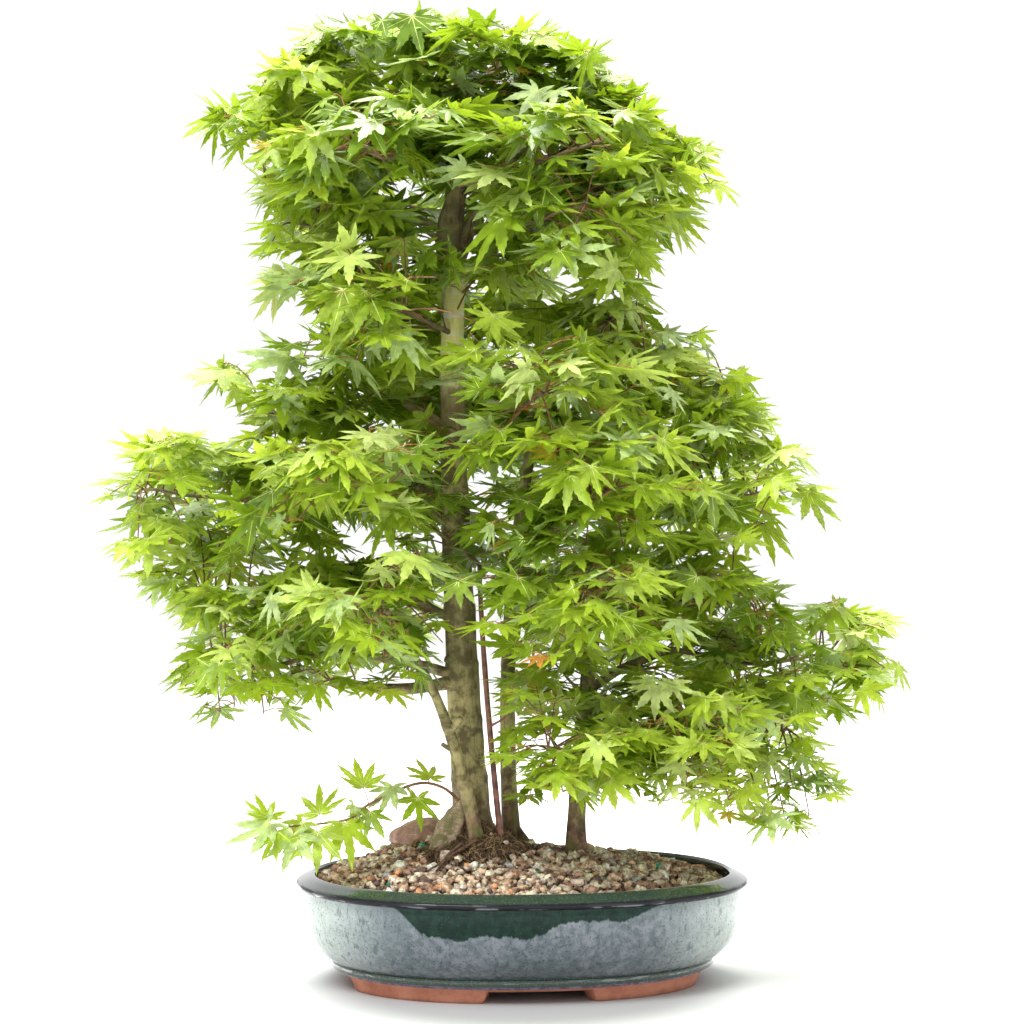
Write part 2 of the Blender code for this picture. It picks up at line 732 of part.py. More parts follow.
def stalk_on_side(pad, carrier):
    """A pad's own stem, seated on the side of a stem of the group."""
    start, _ = root_towards(carrier, pad, BOUGH_RISE)
    line = main_axis_of(pad, start)
    rings = three_sided(line, (STALK_RADIUS, STALK_RADIUS, TWIG_RADIUS))
    direction = (line[1] - start).normalized()
    first = ring_about(start, direction, STALK_RADIUS, 3, steady_side(direction)) + [start]

    def shape_at(gap):
        *seated, cap = seat_on(carrier, first, direction, gap)
        return tube([seated, *rings[1:]], cap)

    return line, clear_of(carrier, shape_at)


def build_foliage(pads, stems, boughs):
    stalks = {}
    for name, pad in pads.items():
        if name in ON_TIP:
            stalks[name] = stalk_on_tip(pad, stems[ON_TIP[name]])
        elif name in boughs:
            stalks[name] = stalk_on_tip(pad, boughs[name])
        else:
            stalks[name] = stalk_on_side(pad, carrier_of(name, stems))
    limbs = [(read_points(obj), read_faces(obj)) for obj in bpy.context.scene.collection.objects]
    foliage = Foliage(pads, limbs, {name: tree_of([shape]) for name, (_, shape) in stalks.items()})
    for seed, (name, pad) in enumerate(pads.items(), FIRST_SEED):
        line, shape = stalks[name]
        fuse("leaves_" + name, [shape, *grow_pad(pad, line, foliage, seed)], LEAF_GREEN)


def read_points(obj):
    return [v.co.copy() for v in obj.data.vertices]


def read_faces(obj):
    return [tuple(p.vertices) for p in obj.data.polygons]


def centre_on_outline():
    """Moves everything so that the origin lies on the floor under the middle of the whole outline."""
    points = [v.co for obj in bpy.context.scene.collection.objects for v in obj.data.vertices]
    low = Vector(min(p[i] for p in points) for i in range(3))
    high = Vector(max(p[i] for p in points) for i in range(3))
    shift = Vector((-(low.x + high.x) / 2, -(low.y + high.y) / 2, 0))
    for obj in bpy.context.scene.collection.objects:
        obj.data.transform(Matrix.Translation(shift))


def main():
    clear_scene()
    build_pot()
    build_foot_ring()
    build_soil()
    build_rock()
    stems = build_stems()
    pads = lay_out_pads()
    boughs = build_boughs(pads, stems)
    build_foliage(pads, stems, boughs)
    centre_on_outline()


if __name__ == "__main__":
    main()
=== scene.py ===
"""A group of small maples in an oval glazed pot, dressed over the part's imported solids.

Laid out as an add-on, and run as a script: each operator makes one piece or one group of
like pieces, in metres, in the frame of the solids. Everything is worked out about the
middle of the pot, on the floor, and moved to the frame when a piece is made.
"""

import math
import random
from collections import namedtuple

import bmesh
import bpy
import numpy as np
from bpy.props import FloatProperty, FloatVectorProperty, IntProperty, PointerProperty
from bpy.types import Operator, Panel, PropertyGroup
from mathutils import Matrix, Vector, noise


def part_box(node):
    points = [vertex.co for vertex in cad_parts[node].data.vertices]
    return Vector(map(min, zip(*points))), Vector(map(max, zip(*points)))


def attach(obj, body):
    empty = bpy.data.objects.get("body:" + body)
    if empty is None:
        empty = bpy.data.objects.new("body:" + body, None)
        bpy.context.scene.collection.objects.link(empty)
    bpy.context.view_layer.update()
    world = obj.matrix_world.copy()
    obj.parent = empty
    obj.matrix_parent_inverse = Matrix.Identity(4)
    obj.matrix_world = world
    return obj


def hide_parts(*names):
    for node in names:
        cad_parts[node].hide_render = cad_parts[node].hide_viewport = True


bl_info = {
    "name": "Potted maple group",
    "version": (1, 0, 0),
    "blender": (4, 5, 0),
    "location": "View3D > Sidebar > Maple",
    "description": "Makes a group of small maples in an oval glazed pot",
    "category": "Add Mesh",
}

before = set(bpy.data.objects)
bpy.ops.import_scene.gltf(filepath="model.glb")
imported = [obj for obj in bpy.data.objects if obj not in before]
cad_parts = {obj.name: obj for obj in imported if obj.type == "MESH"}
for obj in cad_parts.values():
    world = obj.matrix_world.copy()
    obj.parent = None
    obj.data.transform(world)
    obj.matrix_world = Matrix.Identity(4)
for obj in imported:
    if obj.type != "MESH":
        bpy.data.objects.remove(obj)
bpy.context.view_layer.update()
POT_LOW, POT_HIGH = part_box("pot")
MIDDLE = Vector(((POT_LOW.x + POT_HIGH.x) / 2, (POT_LOW.y + POT_HIGH.y) / 2, 0))
POT_HEIGHT = POT_HIGH.z
EYE = (-0.0088, -2.05, 0.393)  # where the part is looked at from, from the middle of the pot
FULL_TURN = 6.283
GOLDEN_TURN = 2.39996  # sets each twig well apart from the one before

# --- Pot ----------------------------------------------------------------------------------------

POT_HALF_LENGTH = 0.190
POT_HALF_DEPTH = 0.148
POT_FULLNESS = 2.2
POT_TURN = math.radians(6)
POT_SIDES = 200
BASE_BOTTOM = 0.0125
# The wall's outline from the base up and over the lip, as runs of (inset, z); runs meet in an edge.
POT_RUNS = (
    ((0.0350, BASE_BOTTOM), (0.0349, 0.0138), (0.0340, 0.0146)),
    ((0.0340, 0.0146), (0.0310, 0.0148), (0.0295, 0.0153), (0.0286, 0.0165), (0.0284, 0.0184),
     (0.0287, 0.0203), (0.0296, 0.0214), (0.0296, 0.0218)),
    ((0.0296, 0.0218), (0.0285, 0.0222), (0.0265, 0.0230), (0.0228, 0.0256), (0.0187, 0.0294),
     (0.0142, 0.0346), (0.0101, 0.0410), (0.0067, 0.0486), (0.0041, 0.0568), (0.0028, 0.0655),
     (0.0023, 0.0740), (0.0026, 0.0806)),
    ((0.0026, 0.0806), (0.0014, 0.0815), (0.0003, 0.0827), (0.0, 0.0840), (0.0005, 0.0852),
     (0.0022, 0.0865), (0.0062, 0.0884), (0.0100, 0.0901), (0.0128, 0.0911), (0.0146, POT_HEIGHT),
     (0.0157, 0.0905), (0.0162, 0.0888), (0.0162, 0.0800)),
)
FOOT_RING_INSET = 0.0370
FOOT_RING_WIDTH = 0.024
FOOT_TAPER = 0.0035
FOOT_GAP_HEIGHT = 0.0102
FOOT_SPANS = ((23, 73), (105, 157), (200, 255), (287, 337))
FOOT_SLANT = 1.9

LIP_WIDTH = 0.016
SOIL_EDGE = 0.084
SOIL_TOP = 0.1030
SOIL_SLOPE = 0.085
ROCK_CENTRE = (-0.090, 0.024)

# --- Limbs: the same curves as the solids -------------------------------------------------------

TAPER = 0.55
GAP = 0.0003
Stem = namedtuple("Stem", "points radius tip flare flare_height sides")
STEMS = {
    "trunk_main": Stem(
        ((-0.040, 0.000), (-0.054, 0.000, 0.285), (-0.071, 0.000, 0.572), (-0.046, 0.000, 0.735)),
        0.0163, 0.0036, 0.0110, 0.020, 44),
    "trunk_second": Stem(
        ((-0.009, 0.033), (-0.017, 0.026, 0.243), (-0.014, 0.012, 0.369), (0.024, 0.010, 0.525)),
        0.0078, 0.0026, 0.0030, 0.012, 28),
    "trunk_third": Stem(
        ((0.044, -0.012), (0.045, -0.010, 0.209), (0.065, -0.008, 0.319), (0.082, -0.006, 0.492)),
        0.0087, 0.0028, 0.0025, 0.012, 28),
    "stem_left": Stem(
        ((-0.036, -0.037), (-0.043, -0.039, 0.158), (-0.058, -0.042, 0.214), (-0.082, -0.046, 0.264)),
        0.0072, 0.0024, 0.0020, 0.010, 24),
    "stem_right": Stem(
        ((-0.016, -0.034), (-0.026, -0.033, 0.190), (-0.034, -0.031, 0.280), (-0.036, -0.034, 0.350)),
        0.0028, 0.0018, 0.0008, 0.010, 16),
}

CROWN_AXIS_X = -0.032
PAD_INNER = 0.30
Tier = namedtuple(
    "Tier", "height left right front back bearings inner half_width half_height",
    defaults=(PAD_INNER, 0.100, 0.056))
TIERS = {
    "top": Tier(0.764, 0.110, 0.100, 0.105, 0.105, (None,), half_height=0.050),
    "crest": Tier(0.752, 0.190, 0.130, 0.180, 0.180, (180, 0), half_height=0.050),
    "high": Tier(0.715, 0.250, 0.195, 0.200, 0.220, (180, 0, 90)),
    "brow": Tier(0.690, 0.200, 0.190, 0.205, 0.205, (228, 305)),
    "upper": Tier(0.640, 0.205, 0.188, 0.200, 0.200, (180, 355, 300)),
    "neck": Tier(0.565, 0.205, 0.190, 0.200, 0.215, (180, 350, 90, 236)),
    "middle": Tier(0.488, 0.282, 0.262, 0.220, 0.240, (180, 0, 285, 90)),
    "wide": Tier(0.415, 0.362, 0.316, 0.236, 0.226, (180, 234, 300, 0, 55, 130)),
    "low": Tier(0.328, 0.300, 0.336, 0.226, 0.220, (180, 236, 296, 352, 50, 134)),
    "under": Tier(0.275, 0.282, 0.366, 0.200, 0.200, (184, 8), 0.45),
    "skirt": Tier(0.212, 0.320, 0.322, 0.190, 0.180, (290, 328, 0)),
    "foot": Tier(0.148, 0.300, 0.252, 0.200, 0.170, (207,), 0.08, 0.060, 0.036),
}
COMPASS = ("right", "back_right", "back", "back_left", "left", "front_left", "front", "front_right")
ON_TIP = {
    "top": "trunk_main",
    "neck_right": "trunk_second",
    "middle_right": "trunk_third",
    "low_front_left": "stem_left",
    "wide_front_left": "stem_right",
}
THIRD_STEM_PADS = (
    "wide_right", "wide_front_right", "wide_back_right", "low_right", "low_front_right",
    "low_back_right", "under_right", "skirt_front", "skirt_front_right", "skirt_right")
ON_BOUGH = (
    "high_left", "high_right", "high_back", "brow_front_left", "upper_left", "upper_right",
    "middle_left", "middle_back", "wide_left", "wide_back_left", "low_left", "under_left", "under_right")
BOUGH_RISE = 0.35
OWN_RISE = {"high_right": 1.3, "upper_right": 0.7, "under_left": 0.16}
BOUGH_OUT = 0.38
BOUGH_END = 0.3
ENTRY_SHARE = 0.95
BRANCH_DROP = 0.004
BRANCH_MARGIN = 0.05
BOUGH_RADIUS = 0.0036
BOUGH_RADIUS_PER_RUN = 0.010
BOUGH_TIP = 0.0022
HUB_SHARE = 0.25
HUB_DROP = 0.20
STALK_END = (0.42, 0.05, -0.05)

# Masses joined into one leaf piece each, so that no piece grows too large.
LEAF_GROUPS = {
    "leaves_of_the_top": ("top", "crest", "high", "brow"),
    "leaves_of_the_shoulders": ("upper", "neck"),
    "leaves_of_the_middle": ("middle",),
    "leaves_of_the_wide_tier": ("wide",),
    "leaves_of_the_low_tier": ("low",),
    "leaves_of_the_skirt": ("under", "skirt", "foot"),
}

# --- Leaves -------------------------------------------------------------------------------------

# Lobes of a leaf: bearing from its axis in degrees, length and half width as shares of its length.
LOBES = ((0, 1.00, 0.125), (38, 0.93, 0.119), (76, 0.76, 0.100), (115, 0.45, 0.062))
NOTCH_REACH = (0.32, 0.29, 0.22)  # how far the notches between the lobes lie from the leaf's heart
TAIL_REACH = 0.10
# Half a lobe's saw-toothed side: share of the way to its tip and share of its half width.
SAW = ((0.44, 0.94), (0.49, 0.76), (0.60, 1.0), (0.65, 0.68), (0.76, 0.64), (0.80, 0.36))
SMALL_SAW = ((0.52, 1.0), (0.60, 0.70), (0.76, 0.60))
MIDRIB = (0.0, 0.36, 0.68, 1.0)
RIB_HALF_WIDTH = 0.0125  # of the leaf's length, at its heart
RIB_LIFT = 0.005
LEAF_SHAPES = 16
LEAF_GLOW = 0.36  # share of a leaf's light that comes through it

# Leaf tones, plain colours dealt out by spray, from the sunlit top of a mass to its shaded inside: painted
# light and shade, beside the tone that differs at random between sprays.
LEAF_TONES = (
    ("leaf_lime", (0.590, 0.690, 0.250), (0.78, 0.86, 0.28)),
    ("leaf_bright", (0.450, 0.570, 0.125), (0.68, 0.81, 0.15)),
    ("leaf_fresh", (0.355, 0.470, 0.050), (0.61, 0.76, 0.055)),
    ("leaf_green", (0.275, 0.385, 0.027), (0.52, 0.68, 0.034)),
    ("leaf_full", (0.200, 0.300, 0.017), (0.41, 0.58, 0.023)),
    ("leaf_deep", (0.120, 0.200, 0.012), (0.29, 0.44, 0.014)),
    ("leaf_painted_sheen", (0.440, 0.560, 0.230), (0.52, 0.68, 0.18)),
    ("leaf_gold", (0.560, 0.420, 0.040), (0.80, 0.60, 0.05)),
    ("leaf_russet", (0.480, 0.200, 0.045), (0.70, 0.32, 0.05)),
)
# Where each tone stands among them, and after them the finish of the ribs.
LIME, BRIGHT, FRESH, GREEN, FULL, DEEP, SHEEN, GOLD, RUSSET, RIB = range(10)
# Shares of sprays and of single leaves given the painted sheen: a pale grey-green that stands for the bright
# studio reflected in the leaves.
SHEEN_SPRAYS = 0.04
SHEEN_LEAVES = 0.08
AUTUMN_LEAVES = 0.012


# --- Shading ------------------------------------------------------------------------------------


class Wire:
    """An output of a node in a finish, on which sums can be written."""

    def __init__(self, finish, socket):
        self.finish, self.socket = finish, socket

    def __add__(self, other):
        return self.finish.sum("ADD", self, other)

    def __sub__(self, other):
        return self.finish.sum("SUBTRACT", self, other)

    def __rsub__(self, other):
        return self.finish.sum("SUBTRACT", other, self)

    def __mul__(self, other):
        return self.finish.sum("MULTIPLY", self, other)

    def __truediv__(self, other):
        return self.finish.sum("DIVIDE", self, other)

    def __pow__(self, other):
        return self.finish.sum("POWER", self, other)

    def __abs__(self):
        return self.finish.sum("ABSOLUTE", self)

    __radd__, __rmul__ = __add__, __mul__

    def between(self, low, high):
        """0 below low, 1 above high, and a smooth climb from one to the other."""
        return self.finish.node(
            "MapRange", {"interpolation_type": "SMOOTHSTEP"},
            {"Value": self, "From Min": low, "From Max": high})


class Finish:
    """One material and the nodes that make its look."""

    def __init__(self, name, **constants):
        self.material = bpy.data.materials.new(name)
        self.material.use_nodes = True
        self.tree = self.material.node_tree
        self.shader = self.tree.nodes["Principled BSDF"]
        self.set(**constants)

    def set(self, **values):
        """Feeds the surface's own sockets, with spaces written as low lines."""
        for name, value in values.items():
            self.feed(self.shader.inputs[name.replace("_", " ")], value)

    def feed(self, socket, value):
        if isinstance(value, Wire):
            self.tree.links.new(value.socket, socket)
        elif socket.type == "RGBA":
            socket.default_value = (*value, 1)
        else:
            socket.default_value = value

    def node(self, kind, settings=(), inputs=(), output=0):
        """Any node: its settings first, then the values or wires of its sockets."""
        made = self.tree.nodes.new("ShaderNode" + kind)
        for name, value in dict(settings).items():
            setattr(made, name, value)
        for key, value in dict(inputs).items():
            self.feed(made.inputs[key], value)
        return Wire(self, made.outputs[output])

    def sum(self, operation, *values):
        return self.node("Math", {"operation": operation}, dict(enumerate(values)))

    def most(self, a, b):
        return self.sum("MAXIMUM", a, b)

    def mix(self, factor, a, b):
        """Colour a where factor is 0, and b where it is 1."""
        return self.node(
            "Mix", {"data_type": "RGBA", "clamp_factor": True}, {0: factor, 6: a, 7: b}, output=2)

    def place(self):
        """The point on the object, measured from the middle of the pot."""
        where = self.node("TexCoord", output=3)
        return self.node("VectorMath", {"operation": "SUBTRACT"}, {0: where, 1: tuple(MIDDLE)})

    def axes(self, vector):
        parts = self.node("SeparateXYZ", inputs={0: vector})
        return [Wire(self, parts.socket.node.outputs[k]) for k in range(3)]

    def scaled(self, vector, by):
        return self.node("VectorMath", {"operation": "MULTIPLY"}, {0: vector, 1: by})

    def noise(self, where, scale, detail=3.0, roughness=0.5, distortion=0.0):
        return self.node("TexNoise", inputs={
            "Vector": where, "Scale": scale, "Detail": detail, "Roughness": roughness,
            "Distortion": distortion})

    def cells(self, where, scale):
        """How far the nearest of many scattered points lies."""
        return self.node("TexVoronoi", inputs={"Vector": where, "Scale": scale})

    def bump(self, height, distance, strength=1.0, over=None):
        """A Normal that follows a height of 0 to 1, distance metres deep."""
        inputs = {"Strength": strength, "Distance": distance, "Height": height}
        if over:
            inputs["Normal"] = over
        return self.node("Bump", inputs=inputs)


def glaze_finish():
    """Celadon over dark green: milky and mottled on the belly, dark where it runs thick."""
    f = Finish("glaze_celadon", Coat_Roughness=0.03, Coat_IOR=1.5, IOR=1.5, Specular_IOR_Level=0.16)
    where = f.place()
    x, y, z = f.axes(where)
    stretched = f.scaled(where, (1.0, 1.0, 0.38))
    broad = f.noise(where, 26, 3, 0.55)
    mottle = f.noise(where, 150, 5, 0.62)
    specks = f.noise(where, 620, 3, 0.6)
    streaks = f.noise(stretched, 210, 4, 0.55, 0.3)
    along = abs(x) / 0.19
    body = f.mix(mottle.between(0.36, 0.66), (0.090, 0.112, 0.124), (0.178, 0.196, 0.220))
    body = f.mix(broad.between(0.42, 0.62) * 0.40, body, (0.092, 0.126, 0.132))
    # Towards the pot's two ends the glaze is painted paler: a painted reflection, where the glaze turns away
    # from the front.
    ends = along.between(0.50, 1.0)
    body = f.mix(ends * (0.60 + 0.40 * mottle), body, (0.540, 0.620, 0.580))
    body = f.mix(streaks.between(0.54, 0.68) * 0.60, body, (0.034, 0.064, 0.064))
    body = f.mix(specks.between(0.575, 0.66) * 0.75, body, (0.018, 0.042, 0.044))
    body = f.mix((1 - specks).between(0.61, 0.70) * 0.30, body, (0.26, 0.29, 0.30))
    # The dark run under the lip, with a ragged lower edge that climbs towards the right.
    drips = f.noise(f.scaled(where, (1.0, 1.0, 0.15)), 34, 3, 0.55)
    ragged = drips * 0.030 + f.noise(stretched, 260, 4, 0.6) * 0.008
    spread = (x + 0.106).between(0.0, 0.036) * (0.114 - x).between(0.0, 0.040)
    deep = 0.0215 - x.between(-0.010, 0.055) * 0.0115
    run_foot = 0.0808 - spread * (deep + 0.015 - ragged * 0.8)
    run = (z - run_foot).between(-0.0008, 0.0012) * spread.between(0.0, 0.06)
    under = (z + (mottle - 0.5) * 0.010).between(0.0445, 0.0255)
    middle_under = under * (1 - abs(x - 0.015) / 0.07).between(0.0, 0.75)
    rim_shade = (z + (broad - 0.5) * 0.006).between(0.0690, 0.0800) * (1 - ends * 0.6)
    dark = f.mix(mottle.between(0.35, 0.70), (0.003, 0.013, 0.009), (0.008, 0.030, 0.021))
    dark = f.mix(specks.between(0.60, 0.72) * 0.5, dark, (0.04, 0.09, 0.07))
    colour = f.mix(rim_shade * 0.40, body, (0.030, 0.056, 0.052))
    colour = f.mix(f.most(run, middle_under * 0.38), colour, dark)
    # Lip and band: thick dark green, breaking to a brown-violet line on their edges.
    lip = z.between(0.0806, 0.0816)
    band = z.between(0.0226, 0.0219)
    thick = f.mix(0.30 + specks.between(0.52, 0.64) * 0.40, dark, (0.105, 0.145, 0.115))
    colour = f.mix(f.most(lip, band), colour, thick)
    edge = z.between(0.0806, 0.0814) * z.between(0.0866, 0.0852)
    colour = f.mix(edge * 0.92, colour, (0.010, 0.007, 0.013))
    # Painted highlights: broken pale streaks on the groove under the lip and on the bead of the band,
    # stronger towards the ends. The same streaks keep the coat on the lip's edge.
    highlight_dashes = f.noise(f.scaled(where, (0.30, 0.30, 2.0)), 130, 3, 0.55).between(0.50, 0.57)
    groove_highlight = z.between(0.0812, 0.0818) * z.between(0.0832, 0.0825)
    colour = f.mix(groove_highlight * highlight_dashes * (0.25 + 0.65 * ends), colour, (0.62, 0.62, 0.70))
    bead_highlight = z.between(0.0176, 0.0184) * z.between(0.0204, 0.0196)
    colour = f.mix(bead_highlight * highlight_dashes * (0.25 + 0.50 * ends), colour, (0.60, 0.62, 0.66))
    line = z.between(0.0156, 0.0150)
    colour = f.mix(line, colour, f.mix(mottle.between(0.4, 0.6), (0.08, 0.07, 0.12), (0.20, 0.19, 0.27)))
    ripple = f.noise(stretched, 60, 3, 0.5) * 0.75 + f.noise(where, 300, 3, 0.5) * 0.25
    coat = 0.42 * (1 - run) + f.most(lip, band) * 0.4 + ends * 0.2
    f.set(
        Base_Color=colour,
        Roughness=0.10 + mottle.between(0.35, 0.7) * 0.16 * (1 - f.most(f.most(run, lip), band)),
        Coat_Weight=coat * (1 - edge * (1 - highlight_dashes) * 0.95),
        Normal=f.bump(ripple, 0.0007, 0.55, f.bump(specks, 0.0001, 0.35)))
    return f.material


def clay_finish():
    f = Finish("clay_terracotta")
    where = f.place()
    z = f.axes(where)[2]
    cloud = f.noise(where, 55, 4, 0.6)
    grain = f.noise(where, 900, 3, 0.6)
    grog = f.cells(where, 520)
    colour = f.mix(cloud.between(0.3, 0.7), (0.395, 0.135, 0.076), (0.560, 0.232, 0.142))
    colour = f.mix(grain.between(0.55, 0.75) * 0.5, colour, (0.66, 0.33, 0.22))
    colour = f.mix((1 - grog).between(0.72, 0.95) * 0.35, colour, (0.25, 0.08, 0.05))
    colour = f.mix(z.between(0.0020, 0.0) * 0.35, colour, (0.28, 0.13, 0.09))
    colour = f.mix(z.between(0.0108, 0.0125) * 0.45, colour, (0.16, 0.10, 0.10))
    f.set(
        Base_Color=colour, Roughness=0.66 + grain * 0.25,
        Normal=f.bump(grain, 0.0003, 0.6, f.bump(cloud, 0.0012, 0.35)))
    return f.material


def soil_finish():
    f = Finish("soil_dark")
    where = f.place()
    crumbs = f.cells(where, 330)
    grain = f.noise(where, 420, 4, 0.65)
    colour = f.mix(grain.between(0.3, 0.7), (0.030, 0.018, 0.011), (0.130, 0.080, 0.045))
    colour = f.mix(f.noise(where, 60, 3).between(0.5, 0.7) * 0.5, colour, (0.065, 0.060, 0.022))
    f.set(Base_Color=colour, Roughness=0.92, Normal=f.bump(1 - crumbs, 0.0016, 0.8))
    return f.material


# Grit: name, plain colour, share of the stones.
GRIT_KINDS = (
    ("grit_tan", (0.620, 0.430, 0.290), 0.24),
    ("grit_beige", (0.760, 0.570, 0.415), 0.19),
    ("grit_ash", (0.520, 0.405, 0.320), 0.19),
    ("grit_brown", (0.330, 0.190, 0.125), 0.16),
    ("grit_umber", (0.130, 0.074, 0.052), 0.08),
    ("grit_rust", (0.620, 0.290, 0.140), 0.035),
    ("grit_cream", (0.900, 0.740, 0.580), 0.065),
    ("grit_slate", (0.320, 0.300, 0.285), 0.025),
    ("grit_green", (0.020, 0.340, 0.200), 0.015),
)
DARK_GRIT = (2, 3, 3, 4, 4)  # darker kinds that lie small between the others: real grit, and painted shade in the crevices
# Layers of grit: how far apart and how large the stones are beside the usual, and how far up they lie.
GRIT_LAYERS = ((1.0, 1.0, 0.0), (1.35, 0.85, 0.0030), (1.0, 0.40, 0.0034))


def grit_finish(name, colour):
    f = Finish(name)
    where = f.place()
    patch = f.noise(where, 240, 4, 0.65)
    pores = f.noise(where, 1500, 3, 0.6)
    dark = tuple(c * 0.50 for c in colour)
    pale = tuple(min(c * 1.55 + 0.02, 1) for c in colour)
    shade = f.mix(patch.between(0.36, 0.64), dark, pale)
    shade = f.mix(pores.between(0.56, 0.70) * 0.55, shade, tuple(c * 0.30 for c in colour))
    f.set(
        Base_Color=shade, Roughness=0.25 if name == "grit_green" else 0.86,
        Normal=f.bump(pores, 0.0006, 0.8, f.bump(patch, 0.0012, 0.7)))
    return f.material


def cobble_finish():
    f = Finish("cobble_russet")
    where = f.place()
    cloud = f.noise(where, 70, 4, 0.6, 0.4)
    veins = f.noise(f.scaled(where, (0.5, 1.0, 2.4)), 130, 4, 0.6, 0.5)
    grain = f.noise(where, 1100, 3, 0.6)
    colour = f.mix(cloud.between(0.3, 0.7), (0.270, 0.145, 0.110), (0.560, 0.350, 0.280))
    colour = f.mix(veins.between(0.56, 0.66) * 0.6, colour, (0.66, 0.48, 0.39))
    colour = f.mix((1 - veins).between(0.60, 0.70) * 0.5, colour, (0.140, 0.075, 0.060))
    f.set(
        Base_Color=colour, Roughness=0.50 + cloud * 0.35,
        Normal=f.bump(grain, 0.0004, 0.6, f.bump(veins, 0.0010, 0.5)))
    return f.material


def bark_finish():
    """Grey-olive bark in fine upright cracks, with pale lichen, red-brown near the ground."""
    f = Finish("bark_olive")
    where = f.place()
    x, _, z = f.axes(where)
    upright = f.scaled(where, (1.0, 1.0, 0.10))
    cracks = f.noise(upright, 520, 5, 0.62, 0.5)
    seams = f.noise(upright, 190, 4, 0.6, 0.8)
    bands = f.noise(f.scaled(where, (0.4, 0.4, 1.6)), 150, 3, 0.6, 0.6)
    cloud = f.noise(where, 75, 4, 0.6, 0.3)
    lichen = f.noise(where, 150, 5, 0.62, 0.5)
    grain = f.noise(where, 1400, 3, 0.6)
    colour = f.mix(cloud.between(0.38, 0.62), (0.135, 0.105, 0.044), (0.450, 0.385, 0.170))
    colour = f.mix(bands.between(0.56, 0.70) * 0.22, colour, (0.640, 0.570, 0.340))
    # Young bark above about z 0.5: its own paler olive-yellow, painted close to full brightness as painted
    # light on it.
    young_lit_bark = (z + (cloud - 0.5) * 0.03).between(0.485, 0.515)
    crotch = (z + (cloud - 0.5) * 0.02).between(0.588, 0.606)
    bright = f.mix(bands.between(0.45, 0.60), (0.960, 0.860, 0.330), (1.0, 0.980, 0.620))
    colour = f.mix(young_lit_bark * 0.92, colour, bright)
    colour = f.mix(z.between(0.440, 0.470) * (1 - young_lit_bark) * 0.6, colour, (0.270, 0.185, 0.095))
    scar = z.between(0.5555, 0.5570) * z.between(0.5615, 0.5595)
    colour = f.mix(scar * 0.80, colour, (1.0, 0.970, 0.860))
    brown = f.mix(cloud.between(0.4, 0.6), (0.120, 0.076, 0.046), (0.330, 0.250, 0.115))
    colour = f.mix(crotch * 0.85, colour, brown)
    old = 1 - young_lit_bark * (1 - crotch) * 0.85
    colour = f.mix(lichen.between(0.55, 0.65) * 0.65 * old, colour, (0.300, 0.310, 0.120))
    # Painted shadow: the stem darker between z 0.235 and 0.36, where the crown's low masses shade it.
    shade = z.between(0.235, 0.270) * z.between(0.360, 0.320)
    colour = f.mix(shade * 0.40, colour, (0.110, 0.085, 0.035))
    foot = (z + (cloud - 0.5) * 0.06).between(0.185, 0.122)
    red = f.mix(lichen.between(0.4, 0.62), (0.060, 0.026, 0.018), (0.230, 0.110, 0.078))
    colour = f.mix(foot * 0.86, colour, red)
    fibres = f.noise(f.scaled(where, (0.5, 0.5, 2.6)), 420, 4, 0.6, 0.8)
    worn = x.between(-0.047, -0.054) * z.between(0.108, 0.118) * z.between(0.172, 0.150)
    bare = f.mix(fibres.between(0.36, 0.62), (0.360, 0.250, 0.160), (0.740, 0.590, 0.420))
    colour = f.mix(worn * 0.62, colour, bare)
    colour = f.mix(seams.between(0.54, 0.64) * 0.42 * old, colour, (0.120, 0.085, 0.045))
    colour = f.mix(cracks.between(0.55, 0.68) * 0.55 * old, colour, (0.080, 0.055, 0.030))
    moss = foot * f.noise(where, 90, 4).between(0.50, 0.60)
    colour = f.mix(moss * 0.70, colour, (0.120, 0.125, 0.028))
    f.set(
        Base_Color=colour, Roughness=0.74 + grain * 0.2,
        Normal=f.bump(1 - cracks, 0.0011, 1.0, f.bump(1 - seams, 0.0018, 0.6, f.bump(grain, 0.0003, 0.6))))
    return f.material


def shoot_finish():
    return twig_finish("shoot_russet", (0.085, 0.030, 0.022), (0.250, 0.105, 0.070))


def twig_finish(name, dark, pale):
    f = Finish(name)
    where = f.place()
    cloud = f.noise(where, 90, 3, 0.6)
    grain = f.noise(f.scaled(where, (1, 1, 0.3)), 900, 3, 0.6)
    colour = f.mix(cloud.between(0.35, 0.65), dark, pale)
    f.set(Base_Color=colour, Roughness=0.60, Normal=f.bump(grain, 0.0003, 0.5))
    return f.material


def moss_finish(name, dark, pale):
    f = Finish(name)
    cloud = f.noise(f.place(), 160, 3, 0.6)
    f.set(Base_Color=f.mix(cloud.between(0.35, 0.65), dark, pale), Roughness=0.9)
    return f.material


def leaf_finish(name, face, through):
    """A thin leaf: its mottled face, and the light that comes through it."""
    f = Finish(name, IOR=1.45, Specular_IOR_Level=0.55)
    where = f.place()
    patches = f.noise(where, 85, 4, 0.62).between(0.34, 0.66)
    grain = f.noise(where, 620, 3, 0.6)
    darker, paler = [tuple(min(c * k, 1) for c in face) for k in (0.62, 1.34)]
    f.set(
        Base_Color=f.mix(grain.between(0.52, 0.66) * 0.35, f.mix(patches, darker, paler), paler),
        Roughness=0.26 + grain * 0.22, Normal=f.bump(grain, 0.0005, 0.7))
    glow = f.node("BsdfTranslucent", inputs={"Color": through})
    both = f.node("MixShader", inputs={0: LEAF_GLOW, 1: Wire(f, f.shader.outputs[0]), 2: glow})
    f.feed(f.tree.nodes["Material Output"].inputs["Surface"], both)
    return f.material


# --- Shapes -------------------------------------------------------------------------------------


